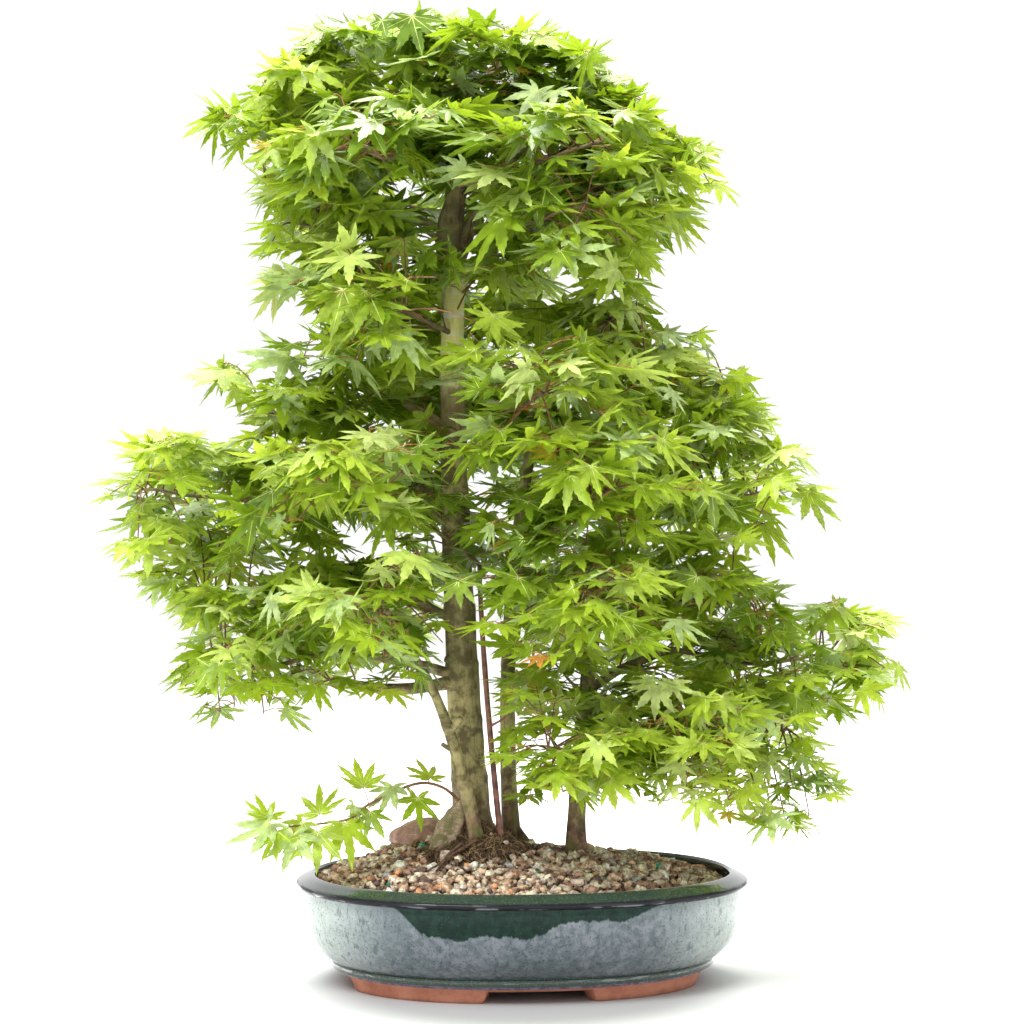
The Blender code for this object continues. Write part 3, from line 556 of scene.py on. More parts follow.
class Pile:
    """Points, triangles and their finishes, gathered into one mesh."""

    def __init__(self):
        self.points, self.faces, self.marks = [], [], []
        self.count = 0

    def add(self, points, faces, marks=0):
        points = np.asarray(points, np.float64).reshape(-1, 3)
        faces = np.asarray(faces, np.int64).reshape(-1, 3)
        self.points.append(points)
        self.faces.append(faces + self.count)
        self.marks.append(np.broadcast_to(np.asarray(marks, np.int64), (len(faces),)))
        self.count += len(points)

    def add_copies(self, points, faces, marks):
        """Many copies of one shape: points is (copies, points, 3), faces and marks are of one copy."""
        copies, each = points.shape[:2]
        steps = np.arange(copies)[:, None, None] * each
        marks = np.broadcast_to(marks, (copies, len(faces)))
        self.add(points.reshape(-1, 3), (faces[None] + steps).reshape(-1, 3), marks.reshape(-1))

    def piece(self, name, finishes, slot, nodes=(), sharp=None, smooth=True):
        points = np.concatenate(self.points) + np.array(MIDDLE)
        faces = np.concatenate(self.faces)
        marks = np.concatenate(self.marks)
        mesh = bpy.data.meshes.new(name)
        mesh.vertices.add(len(points))
        mesh.vertices.foreach_set("co", points.astype(np.float32).ravel())
        mesh.loops.add(3 * len(faces))
        mesh.loops.foreach_set("vertex_index", faces.astype(np.int32).ravel())
        mesh.polygons.add(len(faces))
        mesh.polygons.foreach_set("loop_start", np.arange(0, 3 * len(faces), 3, dtype=np.int32))
        for finish in finishes:
            mesh.materials.append(finish)
        mesh.polygons.foreach_set("material_index", marks.astype(np.int32))
        mesh.update(calc_edges=True)
        mesh.validate()
        if smooth:
            mesh.shade_smooth()
            if sharp:
                mesh.set_sharp_from_angle(angle=math.radians(sharp))
        made = bpy.data.objects.new(name, mesh)
        bpy.context.scene.collection.objects.link(made)
        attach(made, "root")
        if nodes:
            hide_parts(*nodes)
        return made


def grid_faces(rows, columns, closed=True):
    """Triangles of a grid of rings, each of so many points."""
    r = np.arange(rows - 1)[:, None]
    c = np.arange(columns if closed else columns - 1)[None]
    n = (c + 1) % columns
    a, b = r * columns + c, r * columns + n
    d, e = a + columns, b + columns
    return np.stack([np.stack([a, b, e], -1), np.stack([a, e, d], -1)], 2).reshape(-1, 3)


def oval(inset, angle):
    """Points of the pot's oval, drawn in by inset, at angles round it."""
    c, s = np.cos(angle), np.sin(angle)
    x = (POT_HALF_LENGTH - inset) * np.sign(c) * np.abs(c) ** (2 / POT_FULLNESS)
    y = (POT_HALF_DEPTH - inset) * np.sign(s) * np.abs(s) ** (2 / POT_FULLNESS)
    turn_c, turn_s = math.cos(POT_TURN), math.sin(POT_TURN)
    return x * turn_c - y * turn_s, x * turn_s + y * turn_c


def even_angles(count):
    """Angles that give points evenly spaced along the oval."""
    fine = np.linspace(0, 2 * math.pi, 7201)
    x, y = oval(0.02, fine)
    run = np.concatenate([[0], np.cumsum(np.hypot(np.diff(x), np.diff(y)))])
    return np.interp(np.arange(count) * run[-1] / count, run, fine)


def rounded(run, steps=3):
    """A smooth line through the points of a run."""
    points = np.array(run, float)
    padded = np.vstack([2 * points[0] - points[1], points, 2 * points[-1] - points[-2]])
    line = []
    for k in range(len(points) - 1):
        a, b, c, d = padded[k:k + 4]
        for t in np.arange(steps) / steps:
            line.append(0.5 * (2 * b + (c - a) * t + (2 * a - 5 * b + 4 * c - d) * t**2
                               + (3 * b - a - 3 * c + d) * t**3))
    return line + [points[-1]]


def soil_height(inset_from_edge):
    """Height of the solids' mound, by how far in from the wall a point lies."""
    share = np.minimum(np.maximum(inset_from_edge, 0) / SOIL_SLOPE, 1)
    return SOIL_EDGE + (SOIL_TOP - SOIL_EDGE) * (1 - (1 - share) ** 2)


def inset_of(x, y):
    """How far in from the pot's outline a point lies, near enough for laying stones."""
    c, s = math.cos(-POT_TURN), math.sin(-POT_TURN)
    u, v = x * c - y * s, x * s + y * c
    share = (np.abs(u / POT_HALF_LENGTH) ** POT_FULLNESS + np.abs(v / POT_HALF_DEPTH) ** POT_FULLNESS)
    share = share ** (1 / POT_FULLNESS)
    size = np.hypot(u, v) / np.maximum(share, 1e-6)
    return (1 - share) * size * 0.93


class Limb:
    """A tapering limb along a cubic curve."""

    def __init__(self, points, radius, tip, flare=0.0, flare_height=1.0):
        self.points = [Vector(p) for p in points]
        self.radius, self.tip = radius, tip
        self.flare, self.flare_height = flare, flare_height

    def at(self, t):
        a, b, c, d = self.points
        u = 1 - t
        return a * u**3 + b * (3 * u * u * t) + c * (3 * u * t * t) + d * t**3

    def thickness(self, t):
        """Radius at t, with the flare at its foot."""
        taper = self.tip + (self.radius - self.tip) * (1 - t) ** TAPER
        rise = self.at(t).z - self.points[0].z
        return taper + self.flare * math.exp(-max(rise, 0) / self.flare_height)

    def t_at_height(self, z):
        """Where along itself a rising limb passes a height."""
        low, high = 0.0, 1.0
        for _ in range(30):
            middle = (low + high) / 2
            low, high = (middle, high) if self.at(middle).z < z else (low, middle)
        return low


class Pad:
    """The space of one mass of foliage: a flattened ellipsoid that points outwards along a bearing."""

    def __init__(self, name, tier_name, tier, bearing):
        self.name, self.tier_name = name, tier_name
        if bearing is None:
            self.out = Vector((1, 0, 0))
            middle = (tier.right - tier.left) / 2
            self.half = Vector(((tier.left + tier.right) / 2, tier.front, tier.half_height))
        else:
            self.out = heading(bearing)
            along_x = tier.right if self.out.x > 0 else tier.left
            along_y = tier.back if self.out.y > 0 else tier.front
            reach = 1 / math.hypot(self.out.x / along_x, self.out.y / along_y)
            middle = reach * (1 + tier.inner) / 2
            self.half = Vector((reach * (1 - tier.inner) / 2, tier.half_width, tier.half_height))
        self.across = Vector((-self.out.y, self.out.x, 0))
        self.centre = Vector((CROWN_AXIS_X, 0, tier.height)) + self.out * middle

    def place(self, out, across, up):
        return (self.centre + self.out * (out * self.half.x) + self.across * (across * self.half.y)
                + Vector((0, 0, up * self.half.z)))

    def distance(self, p):
        d = p - self.centre
        shares = (d.dot(self.out) / self.half.x, d.dot(self.across) / self.half.y, d.z / self.half.z)
        return Vector(shares).length


def lay_out_pads():
    pads = {}
    for tier_name, tier in TIERS.items():
        for bearing in tier.bearings:
            name = tier_name
            if bearing is not None:
                name += "_" + COMPASS[round(bearing / 45) % 8]
            pads[name] = Pad(name, tier_name, tier, bearing)
    return pads


def lay_out_stems():
    stems = {}
    for name, stem in STEMS.items():
        foot, *others = stem.points
        points = [(*foot, SOIL_TOP + GAP), *others]
        stems[name] = Limb(points, stem.radius, stem.tip, stem.flare, stem.flare_height)
    return stems


def carrier_of(name, stems):
    return stems["trunk_third" if name in THIRD_STEM_PADS else "trunk_main"]


def root_towards(carrier, pad, share):
    """The point on a stem's axis from which a branch rises to the pad, and where it enters the pad."""
    beside = carrier.at(carrier.t_at_height(pad.centre.z))
    flat = Vector((beside.x - pad.centre.x, beside.y - pad.centre.y, 0))
    entry = pad.centre + flat * min(ENTRY_SHARE / max(pad.distance(pad.centre + flat), ENTRY_SHARE), 1)
    run = (beside - entry).to_2d().length
    t = carrier.t_at_height(entry.z - share * run - BRANCH_DROP)
    return carrier.at(min(max(t, BRANCH_MARGIN), 1 - BRANCH_MARGIN)), entry


def lay_out_boughs(pads, stems):
    """The boughs of the solids, each from its stem to where its mass begins."""
    boughs = {}
    for name in ON_BOUGH:
        pad = pads[name]
        start, end = root_towards(carrier_of(name, stems), pad, OWN_RISE.get(name, BOUGH_RISE))
        flat = Vector((end.x - start.x, end.y - start.y, 0))
        climb = end.z - start.z
        near = start + flat * BOUGH_OUT + Vector((0, 0, climb * (1 - BOUGH_OUT)))
        far = end - (pad.centre - end).normalized() * (flat.length * BOUGH_END)
        radius = BOUGH_RADIUS + BOUGH_RADIUS_PER_RUN * flat.length
        boughs[name] = Limb((start, near, far, end), radius, BOUGH_TIP)
    return boughs


def heading(degrees, rise=0.0):
    """The way of a bearing, in degrees round from +x."""
    angle = math.radians(degrees)
    return Vector((math.cos(angle), math.sin(angle), rise))


def tapered(start, end, count):
    """So many radii, from the one at the start to the one at the end."""
    return [start + (end - start) * k / (count - 1) for k in range(count)]


def wander(point, scale, offset):
    """A small even push in all three directions, of up to about 1, that varies from place to place."""
    return Vector([noise.noise(point * scale + Vector((push, offset, 0))) for push in (0, 9, 17)])


def frames_along(points):
    """An even turn of two side directions along a line of points."""
    tangents = []
    for k in range(len(points)):
        before, after = points[max(k - 1, 0)], points[min(k + 1, len(points) - 1)]
        tangents.append((after - before).normalized())
    first = tangents[0]
    side = first.cross(Vector((0.31, 0.95, 0.05))).normalized()
    frames = []
    for tangent in tangents:
        side = (side - tangent * side.dot(tangent)).normalized()
        frames.append((side, tangent.cross(side)))
    return tangents, frames


def bark_tube(pile, points, radii, sides, relief, seed, ridges):
    """A tube with bark's relief: lumps, fine cracks, and long ridges of a height at each point."""
    tangents, frames = frames_along(points)
    rows = []
    for p, r, ridge, (a, b) in zip(points, radii, ridges, frames):
        for i in range(sides):
            angle = 2 * math.pi * i / sides
            direction = a * math.cos(angle) + b * math.sin(angle)
            at = p + direction * r
            lump = noise.noise(Vector((at.x, at.y, at.z * 0.45)) * 70 + Vector((seed, 0, 0)))
            fine = noise.noise(Vector((at.x, at.y, at.z * 0.16)) * 260 + Vector((0, seed, 0)))
            grow = 1 + relief * (0.75 * lump + 0.5 * fine)
            grow += ridge * (math.cos(5 * angle + 1.1) * 0.5 + math.cos(3 * angle + seed) * 0.5)
            rows.append(p + direction * (r * grow))
    count = len(points)
    faces = grid_faces(count, sides)
    tip = len(rows)
    rows += [points[-1] + tangents[-1] * (radii[-1] * 0.6), points[0] - tangents[0] * (radii[0] * 0.4)]
    last = (count - 1) * sides
    caps = [(last + i, last + (i + 1) % sides, tip) for i in range(sides)]
    caps += [((i + 1) % sides, i, tip + 1) for i in range(sides)]
    pile.add([tuple(p) for p in rows], np.vstack([faces, caps]))


def limb_line(limb, count):
    """Points along a limb, and its radius at each."""
    shares = [k / (count - 1) for k in range(count)]
    return [limb.at(t) for t in shares], [limb.thickness(t) for t in shares]


def bend(points, count):
    """Points along a smooth curve through three or four points."""
    return [Vector(p) for p in rounded([tuple(p) for p in points], count)]


def thin_tube(pile, points, radii, sides, mark=0):
    """A plain fine tube for twigs and leaf stalks, closed at its ends."""
    tangents, frames = frames_along(points)
    rows = []
    for p, r, (a, b) in zip(points, radii, frames):
        for i in range(sides):
            angle = 2 * math.pi * i / sides
            rows.append(tuple(p + (a * math.cos(angle) + b * math.sin(angle)) * r))
    faces = grid_faces(len(points), sides)
    last = (len(points) - 1) * sides
    caps = [(last, last + i, last + i + 1) for i in range(1, sides - 1)]
    caps += [(0, i + 1, i) for i in range(1, sides - 1)]
    pile.add(rows, np.vstack([faces, caps]), mark)


# --- Leaf shapes --------------------------------------------------------------------------------


def stitch(left, right):
    """Triangles between two chains of (share, index), both from the foot to the same tip."""
    faces = []
    i = j = 0
    while i < len(left) - 1 or j < len(right) - 1:
        take_left = j == len(right) - 1 or (i < len(left) - 1 and left[i + 1][0] <= right[j + 1][0])
        if take_left:
            faces.append((left[i][1], right[j][1], left[i + 1][1]))
            i += 1
        else:
            faces.append((left[i][1], right[j][1], right[j + 1][1]))
            j += 1
    return [f for f in faces if len(set(f)) == 3]


def leaf_shape(chance):
    """A leaf of seven saw-toothed lobes, one long: its axis is +x and its face +z. Returns points,
    faces, and which faces are ribs."""
    spread = chance.uniform(0.86, 1.08)
    fold = chance.uniform(0.05, 0.40)
    sag = chance.uniform(0.02, 0.26)
    cup = chance.uniform(-0.08, 0.16)
    points, faces, ribs = [(0.0, 0.0, 0.0)], [], []
    lobes = []
    for k, (bearing, reach, width) in enumerate(LOBES):
        for sign in ((1,) if k == 0 else (1, -1)):
            turn = sign * (bearing * spread * chance.uniform(0.93, 1.07))
            length = reach * chance.uniform(0.90, 1.08)
            lobes.append((turn, length, width * chance.uniform(0.88, 1.15), k))
    lobes.sort()
    curl = {k: chance.uniform(-0.10, 0.12) for k in range(len(lobes))}

    def lift(r, across):
        """Height of the blade at a share of its length from the heart, and off a lobe's rib."""
        return -sag * r * r - fold * abs(across) + cup * r

    notches = []
    for k in range(len(lobes) + 1):
        if k in (0, len(lobes)):
            edge = lobes[0 if k == 0 else -1][0]
            bearing, reach = edge + math.copysign(30, edge), TAIL_REACH
        else:
            bearing = (lobes[k - 1][0] + lobes[k][0]) / 2
            reach = NOTCH_REACH[max(min(lobes[k - 1][3], 2), min(lobes[k][3], 3) - 1, 0)]
        angle = math.radians(bearing)
        notches.append(len(points))
        points.append((reach * math.cos(angle), reach * math.sin(angle), lift(reach, 0.09)))
    for k, (bearing, reach, width, kind) in enumerate(lobes):
        angle = math.radians(bearing)
        bow = chance.uniform(-0.07, 0.07)

        def spot(share, across):
            r = reach * share
            turn = angle + bow * share
            x = r * math.cos(turn) - across * math.sin(turn)
            y = r * math.sin(turn) + across * math.cos(turn)
            return (x, y, lift(r, across) + curl[k] * share**2)

        rib = [(0.0, 0)]
        for share in MIDRIB[1:]:
            rib.append((share, len(points)))
            points.append(spot(share, 0.0))
        saw = SMALL_SAW if kind > 1 else SAW
        for sign in (-1, 1):
            notch = notches[k if sign < 0 else k + 1]
            chain = [(0.30, notch)]
            for share, out in saw:
                chain.append((share, len(points)))
                points.append(spot(share, sign * out * width))
            chain.append(rib[-1])
            made = stitch(rib, chain)
            faces += [f[::-1] for f in made] if sign > 0 else made
        across = Vector((-math.sin(angle), math.cos(angle), 0))
        strip = []
        for share, thick in ((0.02, 1.0), (0.88, 0.25)):
            x, y, z = spot(share, 0.0)
            half = across * (RIB_HALF_WIDTH * thick)
            strip.append((len(points), len(points) + 1))
            points.append((x - half.x, y - half.y, z + RIB_LIFT))
            points.append((x + half.x, y + half.y, z + RIB_LIFT))
        for (a, b), (c, d) in zip(strip, strip[1:]):
            ribs += [(a, c, d), (a, d, b)]
    return np.array(points), np.array(faces + ribs), np.array([0] * len(faces) + [1] * len(ribs))


class Leaves:
    """Leaves waiting to be placed: where each has its heart, how it lies, its size and its tone."""

    def __init__(self, shapes):
        self.shapes = shapes
        self.waiting = {}

    def add(self, group, shape, heart, out, normal, size, tone):
        self.waiting.setdefault((group, shape), []).append((heart, out, normal, size, tone))

    def pile_of(self, group):
        """All leaves of a group, placed from the shapes as one mesh."""
        pile = Pile()
        for (own_group, shape), leaves in sorted(self.waiting.items()):
            if own_group != group:
                continue
            points, faces, is_rib = self.shapes[shape]
            hearts = np.array([tuple(l[0]) for l in leaves])
            out = np.array([tuple(l[1]) for l in leaves])
            up = np.array([tuple(l[2]) for l in leaves])
            size = np.array([l[3] for l in leaves])
            tone = np.array([l[4] for l in leaves])
            side = np.cross(up, out)
            axes = np.stack([out, side, up], 1)
            placed = hearts[:, None] + np.einsum("pk,nkd->npd", points, axes) * size[:, None, None]
            marks = np.where(is_rib[None] == 1, RIB, tone[:, None])
            pile.add_copies(placed, faces, marks)
        return pile


# --- What a user may change ---------------------------------------------------------------------


class MaplePotSizes(PropertyGroup):
    sides: IntProperty(name="Sides", description="Points round the pot's wall", default=POT_SIDES, min=48)
    ripple: FloatProperty(
        name="Ripple", description="How far the throwing rings stand out", default=0.00012, unit="LENGTH")


class MapleGritSizes(PropertyGroup):
    spacing: FloatProperty(
        name="Spacing", description="Distance between stones", default=0.0067, unit="LENGTH", min=0.003)
    size: FloatProperty(
        name="Stone size", description="Usual stone length", default=0.0101, unit="LENGTH", min=0.002)
    seed: IntProperty(name="Seed", description="Chance of the grit", default=7)


class MapleBarkSizes(PropertyGroup):
    relief: FloatProperty(
        name="Relief", description="Depth of the bark's relief, as a share of a limb's radius",
        default=0.10, subtype="FACTOR", min=0, max=0.5)


class MapleCrownSizes(PropertyGroup):
    leaf: FloatProperty(
        name="Leaf", description="Length of a leaf's middle lobe", default=0.0350, unit="LENGTH", min=0.01)
    twigs: IntProperty(name="Twigs", description="Twigs in a mass of the usual size", default=19, min=2)
    seed: IntProperty(name="Seed", description="Chance of the foliage", default=41)
    rib: FloatVectorProperty(
        name="Rib", description="Colour of the leaves' ribs", default=(0.62, 0.70, 0.24), subtype="COLOR")


class MapleStudioSizes(PropertyGroup):
    lens: FloatProperty(name="Lens", description="Focal length in millimetres", default=85.5)
    eye: FloatVectorProperty(
        name="Eye", description="Where the camera stands, from the middle of the pot",
        default=EYE, subtype="XYZ", unit="LENGTH")
    floor: FloatVectorProperty(
        name="Floor", description="Colour of the floor", default=(0.95, 0.95, 0.95), subtype="COLOR")


SETTINGS = {
    "maple_pot": MaplePotSizes,
    "maple_grit": MapleGritSizes,
    "maple_bark": MapleBarkSizes,
    "maple_crown": MapleCrownSizes,
    "maple_studio": MapleStudioSizes,
}


# --- Pieces -------------------------------------------------------------------------------------


class MAPLE_OT_pot(Operator):
    """Makes the glazed oval pot"""

    bl_idname = "maple.pot"
    bl_label = "Pot"

    def execute(self, context):
        settings = context.scene.maple_pot
        angles = even_angles(settings.sides)
        pile = Pile()
        for run in POT_RUNS:
            line = rounded(run)
            rings = []
            for inset, z in line:
                wave = settings.ripple * math.sin(z * 1150) if 0.024 < z < 0.079 and inset < 0.03 else 0
                x, y = oval(inset + wave, angles)
                rings.append(np.stack([x, y, np.full_like(x, z)], -1))
            pile.add(np.concatenate(rings), grid_faces(len(rings), settings.sides))
        base = []
        for inset in (0.0350, 0.0700):
            x, y = oval(inset, angles)
            base.append(np.stack([x, y, np.full_like(x, BASE_BOTTOM)], -1))
        base.append(np.array([[0, 0, BASE_BOTTOM]]))
        faces = grid_faces(2, settings.sides)[:, ::-1]
        i = np.arange(settings.sides)
        fan = np.stack([np.full_like(i, 2 * settings.sides), settings.sides + (i + 1) % settings.sides,
                        settings.sides + i], -1)
        pile.add(np.concatenate(base), np.vstack([faces, fan]), 1)
        pile.piece("glazed_pot", [glaze_finish(), clay_finish()], "glaze", ["pot"], sharp=42)
        return {"FINISHED"}


class MAPLE_OT_feet(Operator):
    """Makes the four low feet under the pot"""

    bl_idname = "maple.feet"
    bl_label = "Feet"

    def execute(self, context):
        angles = np.radians(np.arange(0, 360, 0.6))
        degrees = np.degrees(angles)
        drop = np.zeros_like(angles)
        for start, end in FOOT_SPANS:
            ramp = np.minimum(degrees - start + FOOT_SLANT, end + FOOT_SLANT - degrees) / FOOT_SLANT
            share = np.clip(ramp, 0, 1)
            drop = np.maximum(drop, share * share * (3 - 2 * share))
        bottom = FOOT_GAP_HEIGHT * (1 - drop)
        taper = FOOT_TAPER * drop
        top = BASE_BOTTOM - GAP
        ease = 0.0009
        outer, inner = FOOT_RING_INSET, FOOT_RING_INSET + FOOT_RING_WIDTH
        section = [
            (outer, np.full_like(bottom, top)),
            (outer + taper * 0.45, bottom + (top - bottom) * 0.5),
            (outer + taper - ease * 0.3, bottom + ease),
            (outer + taper + ease, bottom),
            ((outer + inner) / 2, bottom + 0.0002 * drop),
            (inner - taper - ease, bottom),
            (inner - taper + ease * 0.3, bottom + ease),
            (inner, np.full_like(bottom, top)),
        ]
        rows = []
        for inset, z in section:
            x, y = oval(inset, angles)
            rows.append(np.stack([x, y, z], -1))
        grid = np.stack(rows, 1).reshape(-1, 3)
        count = len(section)
        faces = []
        for k in range(len(angles)):
            a, b = k * count, (k + 1) % len(angles) * count
            for i in range(count):
                j = (i + 1) % count
                faces += [(a + i, b + i, b + j), (a + i, b + j, a + j)]
        pile = Pile()
        pile.add(grid, faces)
        pile.piece("clay_feet", [clay_finish()], "clay", ["foot_ring"], sharp=50)
        return {"FINISHED"}


BED_SIDES = 140
BED_DROP = 0.0028  # how far the bed lies below the tops of the stones
MOUND_HEIGHT = 0.0215
FIBRES = 560


def soil_surface(x, y):
    """Height of the bed under a point: the mound, with lumps, and banked up against the stems."""
    height = soil_height(inset_of(x, y) - LIP_WIDTH) - BED_DROP
    height -= 0.0045 * np.interp(y, (0.02, 0.09), (0, 1)) + 0.0045 * np.interp(x, (0.05, 0.13), (0, 1))
    for stem in STEMS.values():
        (foot_x, foot_y), *_ = stem.points
        away = math.hypot(x - foot_x, y - foot_y)
        height += 0.0055 * math.exp(-(away / (0.020 + stem.radius)) ** 2)
    height += MOUND_HEIGHT * math.exp(-((x + 0.040) / 0.042) ** 2 - ((y + 0.018) / 0.031) ** 2)
    beside_rock = math.hypot(x - ROCK_CENTRE[0], (y - ROCK_CENTRE[1]) * 1.2)
    height += 0.0080 * math.exp(-(beside_rock / 0.034) ** 4)
    return height + 0.0012 * noise.noise(Vector((x * 60, y * 60, 3)))


# Where moss grows: x, y, how far it spreads, and how many blades of it.
MOSS_SPOTS = (
    (-0.040, -0.024, 0.044, 4300), (-0.004, 0.008, 0.026, 1000), (-0.058, -0.040, 0.026, 1000),
    (0.044, -0.012, 0.016, 120))
# Dead twigs that lie against the mound.
FALLEN_TWIGS = (
    ((-0.036, -0.046, 0.124), (-0.052, -0.058, 0.116), (-0.066, -0.070, 0.108), (-0.076, -0.080, 0.103)),
    ((-0.048, -0.050, 0.122), (-0.060, -0.062, 0.114), (-0.066, -0.072, 0.107), (-0.070, -0.084, 0.103)),
    ((-0.016, -0.036, 0.122), (-0.002, -0.044, 0.112), (0.010, -0.048, 0.107), (0.020, -0.050, 0.104)),
)


class MAPLE_OT_soil(Operator):
    """Makes the bed of soil, its grit and the moss and litter round the stems"""

    bl_idname = "maple.soil"
    bl_label = "Soil and grit"

    def stone_shapes(self, chance, count):
        """Stones with flat, broken faces: hulls of points about a flattened ball."""
        shapes = []
        for _ in range(count):
            mesh = bmesh.new()
            for _ in range(15):
                v = Vector([chance.gauss(0, 1) for _ in range(3)]).normalized()
                v *= chance.uniform(0.70, 1.14)
                mesh.verts.new((v.x, v.y * 0.82, v.z * 0.70))
            bmesh.ops.convex_hull(mesh, input=mesh.verts[:])
            bmesh.ops.triangulate(mesh, faces=mesh.faces[:])
            loose = [v for v in mesh.verts if not v.link_faces]
            bmesh.ops.delete(mesh, geom=loose, context="VERTS")
            mesh.verts.index_update()
            points = np.array([tuple(v.co) for v in mesh.verts])
            faces = np.array([[v.index for v in f.verts] for f in mesh.faces])
            shapes.append((points, faces))
            mesh.free()
        return shapes

    def lay_stones(self, settings):
        """Lays the grit in its layers: a row of places under each, with stones drawn by chance."""
        chance = random.Random(settings.seed)
        shapes = self.stone_shapes(chance, 26)
        kinds = [k for k, (_, _, share) in enumerate(GRIT_KINDS) for _ in range(round(share * 200))]
        by_shape = {}
        for layer, (wider, part, lift) in enumerate(GRIT_LAYERS):
            spacing = settings.spacing * wider
            steps_x = int(POT_HALF_LENGTH * 2.1 / spacing)
            steps_y = int(POT_HALF_LENGTH * 1.7 / spacing)
            for i in range(-steps_x // 2, steps_x // 2 + 1):
                for j in range(-steps_y // 2, steps_y // 2 + 1):
                    x = (i + 0.5 * (j % 2) + chance.uniform(-0.42, 0.42)) * spacing
                    y = (j + chance.uniform(-0.42, 0.42)) * spacing
                    size = settings.size * part * min(chance.lognormvariate(0, 0.32), 1.8) / 2
                    inset = float(inset_of(x, y)) - LIP_WIDTH
                    if inset < size * 0.80:
                        continue
                    if self.under_a_stem(x, y) or self.in_the_cobble(x, y):
                        continue
                    if self.in_the_litter(x, y, chance):
                        continue
                    kind = chance.choice(kinds if layer < 2 else DARK_GRIT)
                    if GRIT_KINDS[kind][0] == "grit_green":
                        size *= 0.72
                    z = soil_surface(x, y) + size * 0.25 + lift
                    turn = Matrix.Rotation(chance.uniform(0, FULL_TURN), 3, "Z")
                    tilt = Matrix.Rotation(chance.uniform(-0.7, 0.7), 3, "X")
                    axes = np.array(turn @ tilt).T * size
                    by_shape.setdefault(chance.randrange(len(shapes)), []).append((axes, (x, y, z), kind))
        pile = Pile()
        for shape, stones in sorted(by_shape.items()):
            points, faces = shapes[shape]
            axes = np.array([s[0] for s in stones])
            centres = np.array([s[1] for s in stones])
            marks = np.array([s[2] for s in stones])[:, None]
            placed = np.einsum("pk,nkd->npd", points, axes) + centres[:, None]
            pile.add_copies(placed, faces, marks)
        finishes = [grit_finish(name, colour) for name, colour, _ in GRIT_KINDS]
        pile.piece("grit", finishes, "grit", smooth=False)

    def under_a_stem(self, x, y):
        return any(
            math.hypot(x - stem.points[0][0], y - stem.points[0][1]) < (stem.radius + stem.flare) * 0.8
            for stem in STEMS.values())

    def in_the_cobble(self, x, y):
        return math.hypot((x - ROCK_CENTRE[0]) / 0.026, (y - ROCK_CENTRE[1]) / 0.017) < 0.92

    def in_the_litter(self, x, y, chance):
        """Fewer stones among the moss at the foot of the main stem."""
        away = math.hypot((x + 0.040) / 1.25, y + 0.020)
        return chance.random() < 0.97 * (1 - min(max((away - 0.036) / 0.012, 0), 1))

    def lay_bed(self):
        """The soil under the stones, closed at its middle."""
        angles = even_angles(BED_SIDES)
        rings = []
        insets = [LIP_WIDTH + GAP + 0.004 * k for k in range(34)]
        for inset in insets:
            x, y = oval(inset, angles)
            z = [soil_surface(a, b) for a, b in zip(x, y)]
            rings.append(np.stack([x, y, z], -1))
        grid = np.concatenate(rings + [np.array([[0, 0, SOIL_TOP]])])
        last = (len(insets) - 1) * BED_SIDES
        fan = [(last + i, last + (i + 1) % BED_SIDES, len(grid) - 1) for i in range(BED_SIDES)]
        pile = Pile()
        pile.add(grid, np.vstack([grid_faces(len(insets), BED_SIDES), fan]))
        pile.piece("soil_bed", [soil_finish()], "grit", ["soil"])

    def lay_litter(self, settings):
        """Moss, fine roots and fallen twigs on the mound round the main stem."""
        chance = random.Random(settings.seed + 1)
        tufts, fibres = Pile(), Pile()
        blades, marks = [], []
        for centre_x, centre_y, spread, count in MOSS_SPOTS:
            for _ in range(count):
                angle, share = chance.uniform(0, FULL_TURN), math.sqrt(chance.random())
                x = centre_x + spread * 1.2 * share * math.cos(angle)
                y = centre_y + spread * 0.85 * share * math.sin(angle)
                if self.in_the_cobble(x, y):
                    continue
                foot = Vector((x, y, soil_surface(x, y) - 0.0005))
                lean = Vector((chance.gauss(0, 0.7), chance.gauss(0, 0.7), 1)).normalized()
                tall = chance.uniform(0.0025, 0.0068)
                side = lean.cross(Vector((chance.gauss(0, 1), chance.gauss(0, 1), 0.1))).normalized() * 0.0006
                middle = foot + lean * tall * 0.55 + side.cross(lean) * 0.6
                blades.append([tuple(p) for p in (foot - side, foot + side, middle, foot + lean * tall)])
                marks.append(chance.choice((0, 0, 1, 1, 1, 1, 1, 2)))
        blades = np.array(blades)
        tufts.add_copies(blades, np.array([(0, 1, 2), (0, 2, 3), (2, 1, 3)]), np.array(marks)[:, None])
        tones = [
            moss_finish("moss_olive", (0.050, 0.052, 0.014), (0.165, 0.150, 0.042)),
            moss_finish("moss_brown", (0.045, 0.022, 0.013), (0.170, 0.090, 0.050)),
            moss_finish("moss_straw", (0.240, 0.180, 0.085), (0.480, 0.400, 0.220)),
        ]
        tufts.piece("moss", tones, "foliage")
        for _ in range(FIBRES):
            angle, share = chance.uniform(0, FULL_TURN), math.sqrt(chance.random())
            x, y = -0.042 + 0.058 * share * math.cos(angle), -0.026 + 0.038 * share * math.sin(angle)
            if self.in_the_cobble(x, y):
                continue
            turn = chance.uniform(0, FULL_TURN)
            length = chance.uniform(0.010, 0.028)
            bow = chance.uniform(-0.9, 0.9)
            line = []
            for k in range(5):
                t = k / 4
                a = turn + bow * t
                px, py = x + length * t * math.cos(a), y + length * t * math.sin(a)
                rise = 0.0012 + 0.0045 * chance.random() * math.sin(math.pi * t)
                line.append(Vector((px, py, soil_surface(px, py) + rise)))
            r = chance.uniform(0.0002, 0.00045)
            thin_tube(fibres, line, [r] * 5, 3, chance.choice((0, 0, 1, 1)))
        for line in FALLEN_TWIGS:
            course = bend(line, 6)
            thin_tube(fibres, course, tapered(0.0015, 0.0007, len(course)), 7)
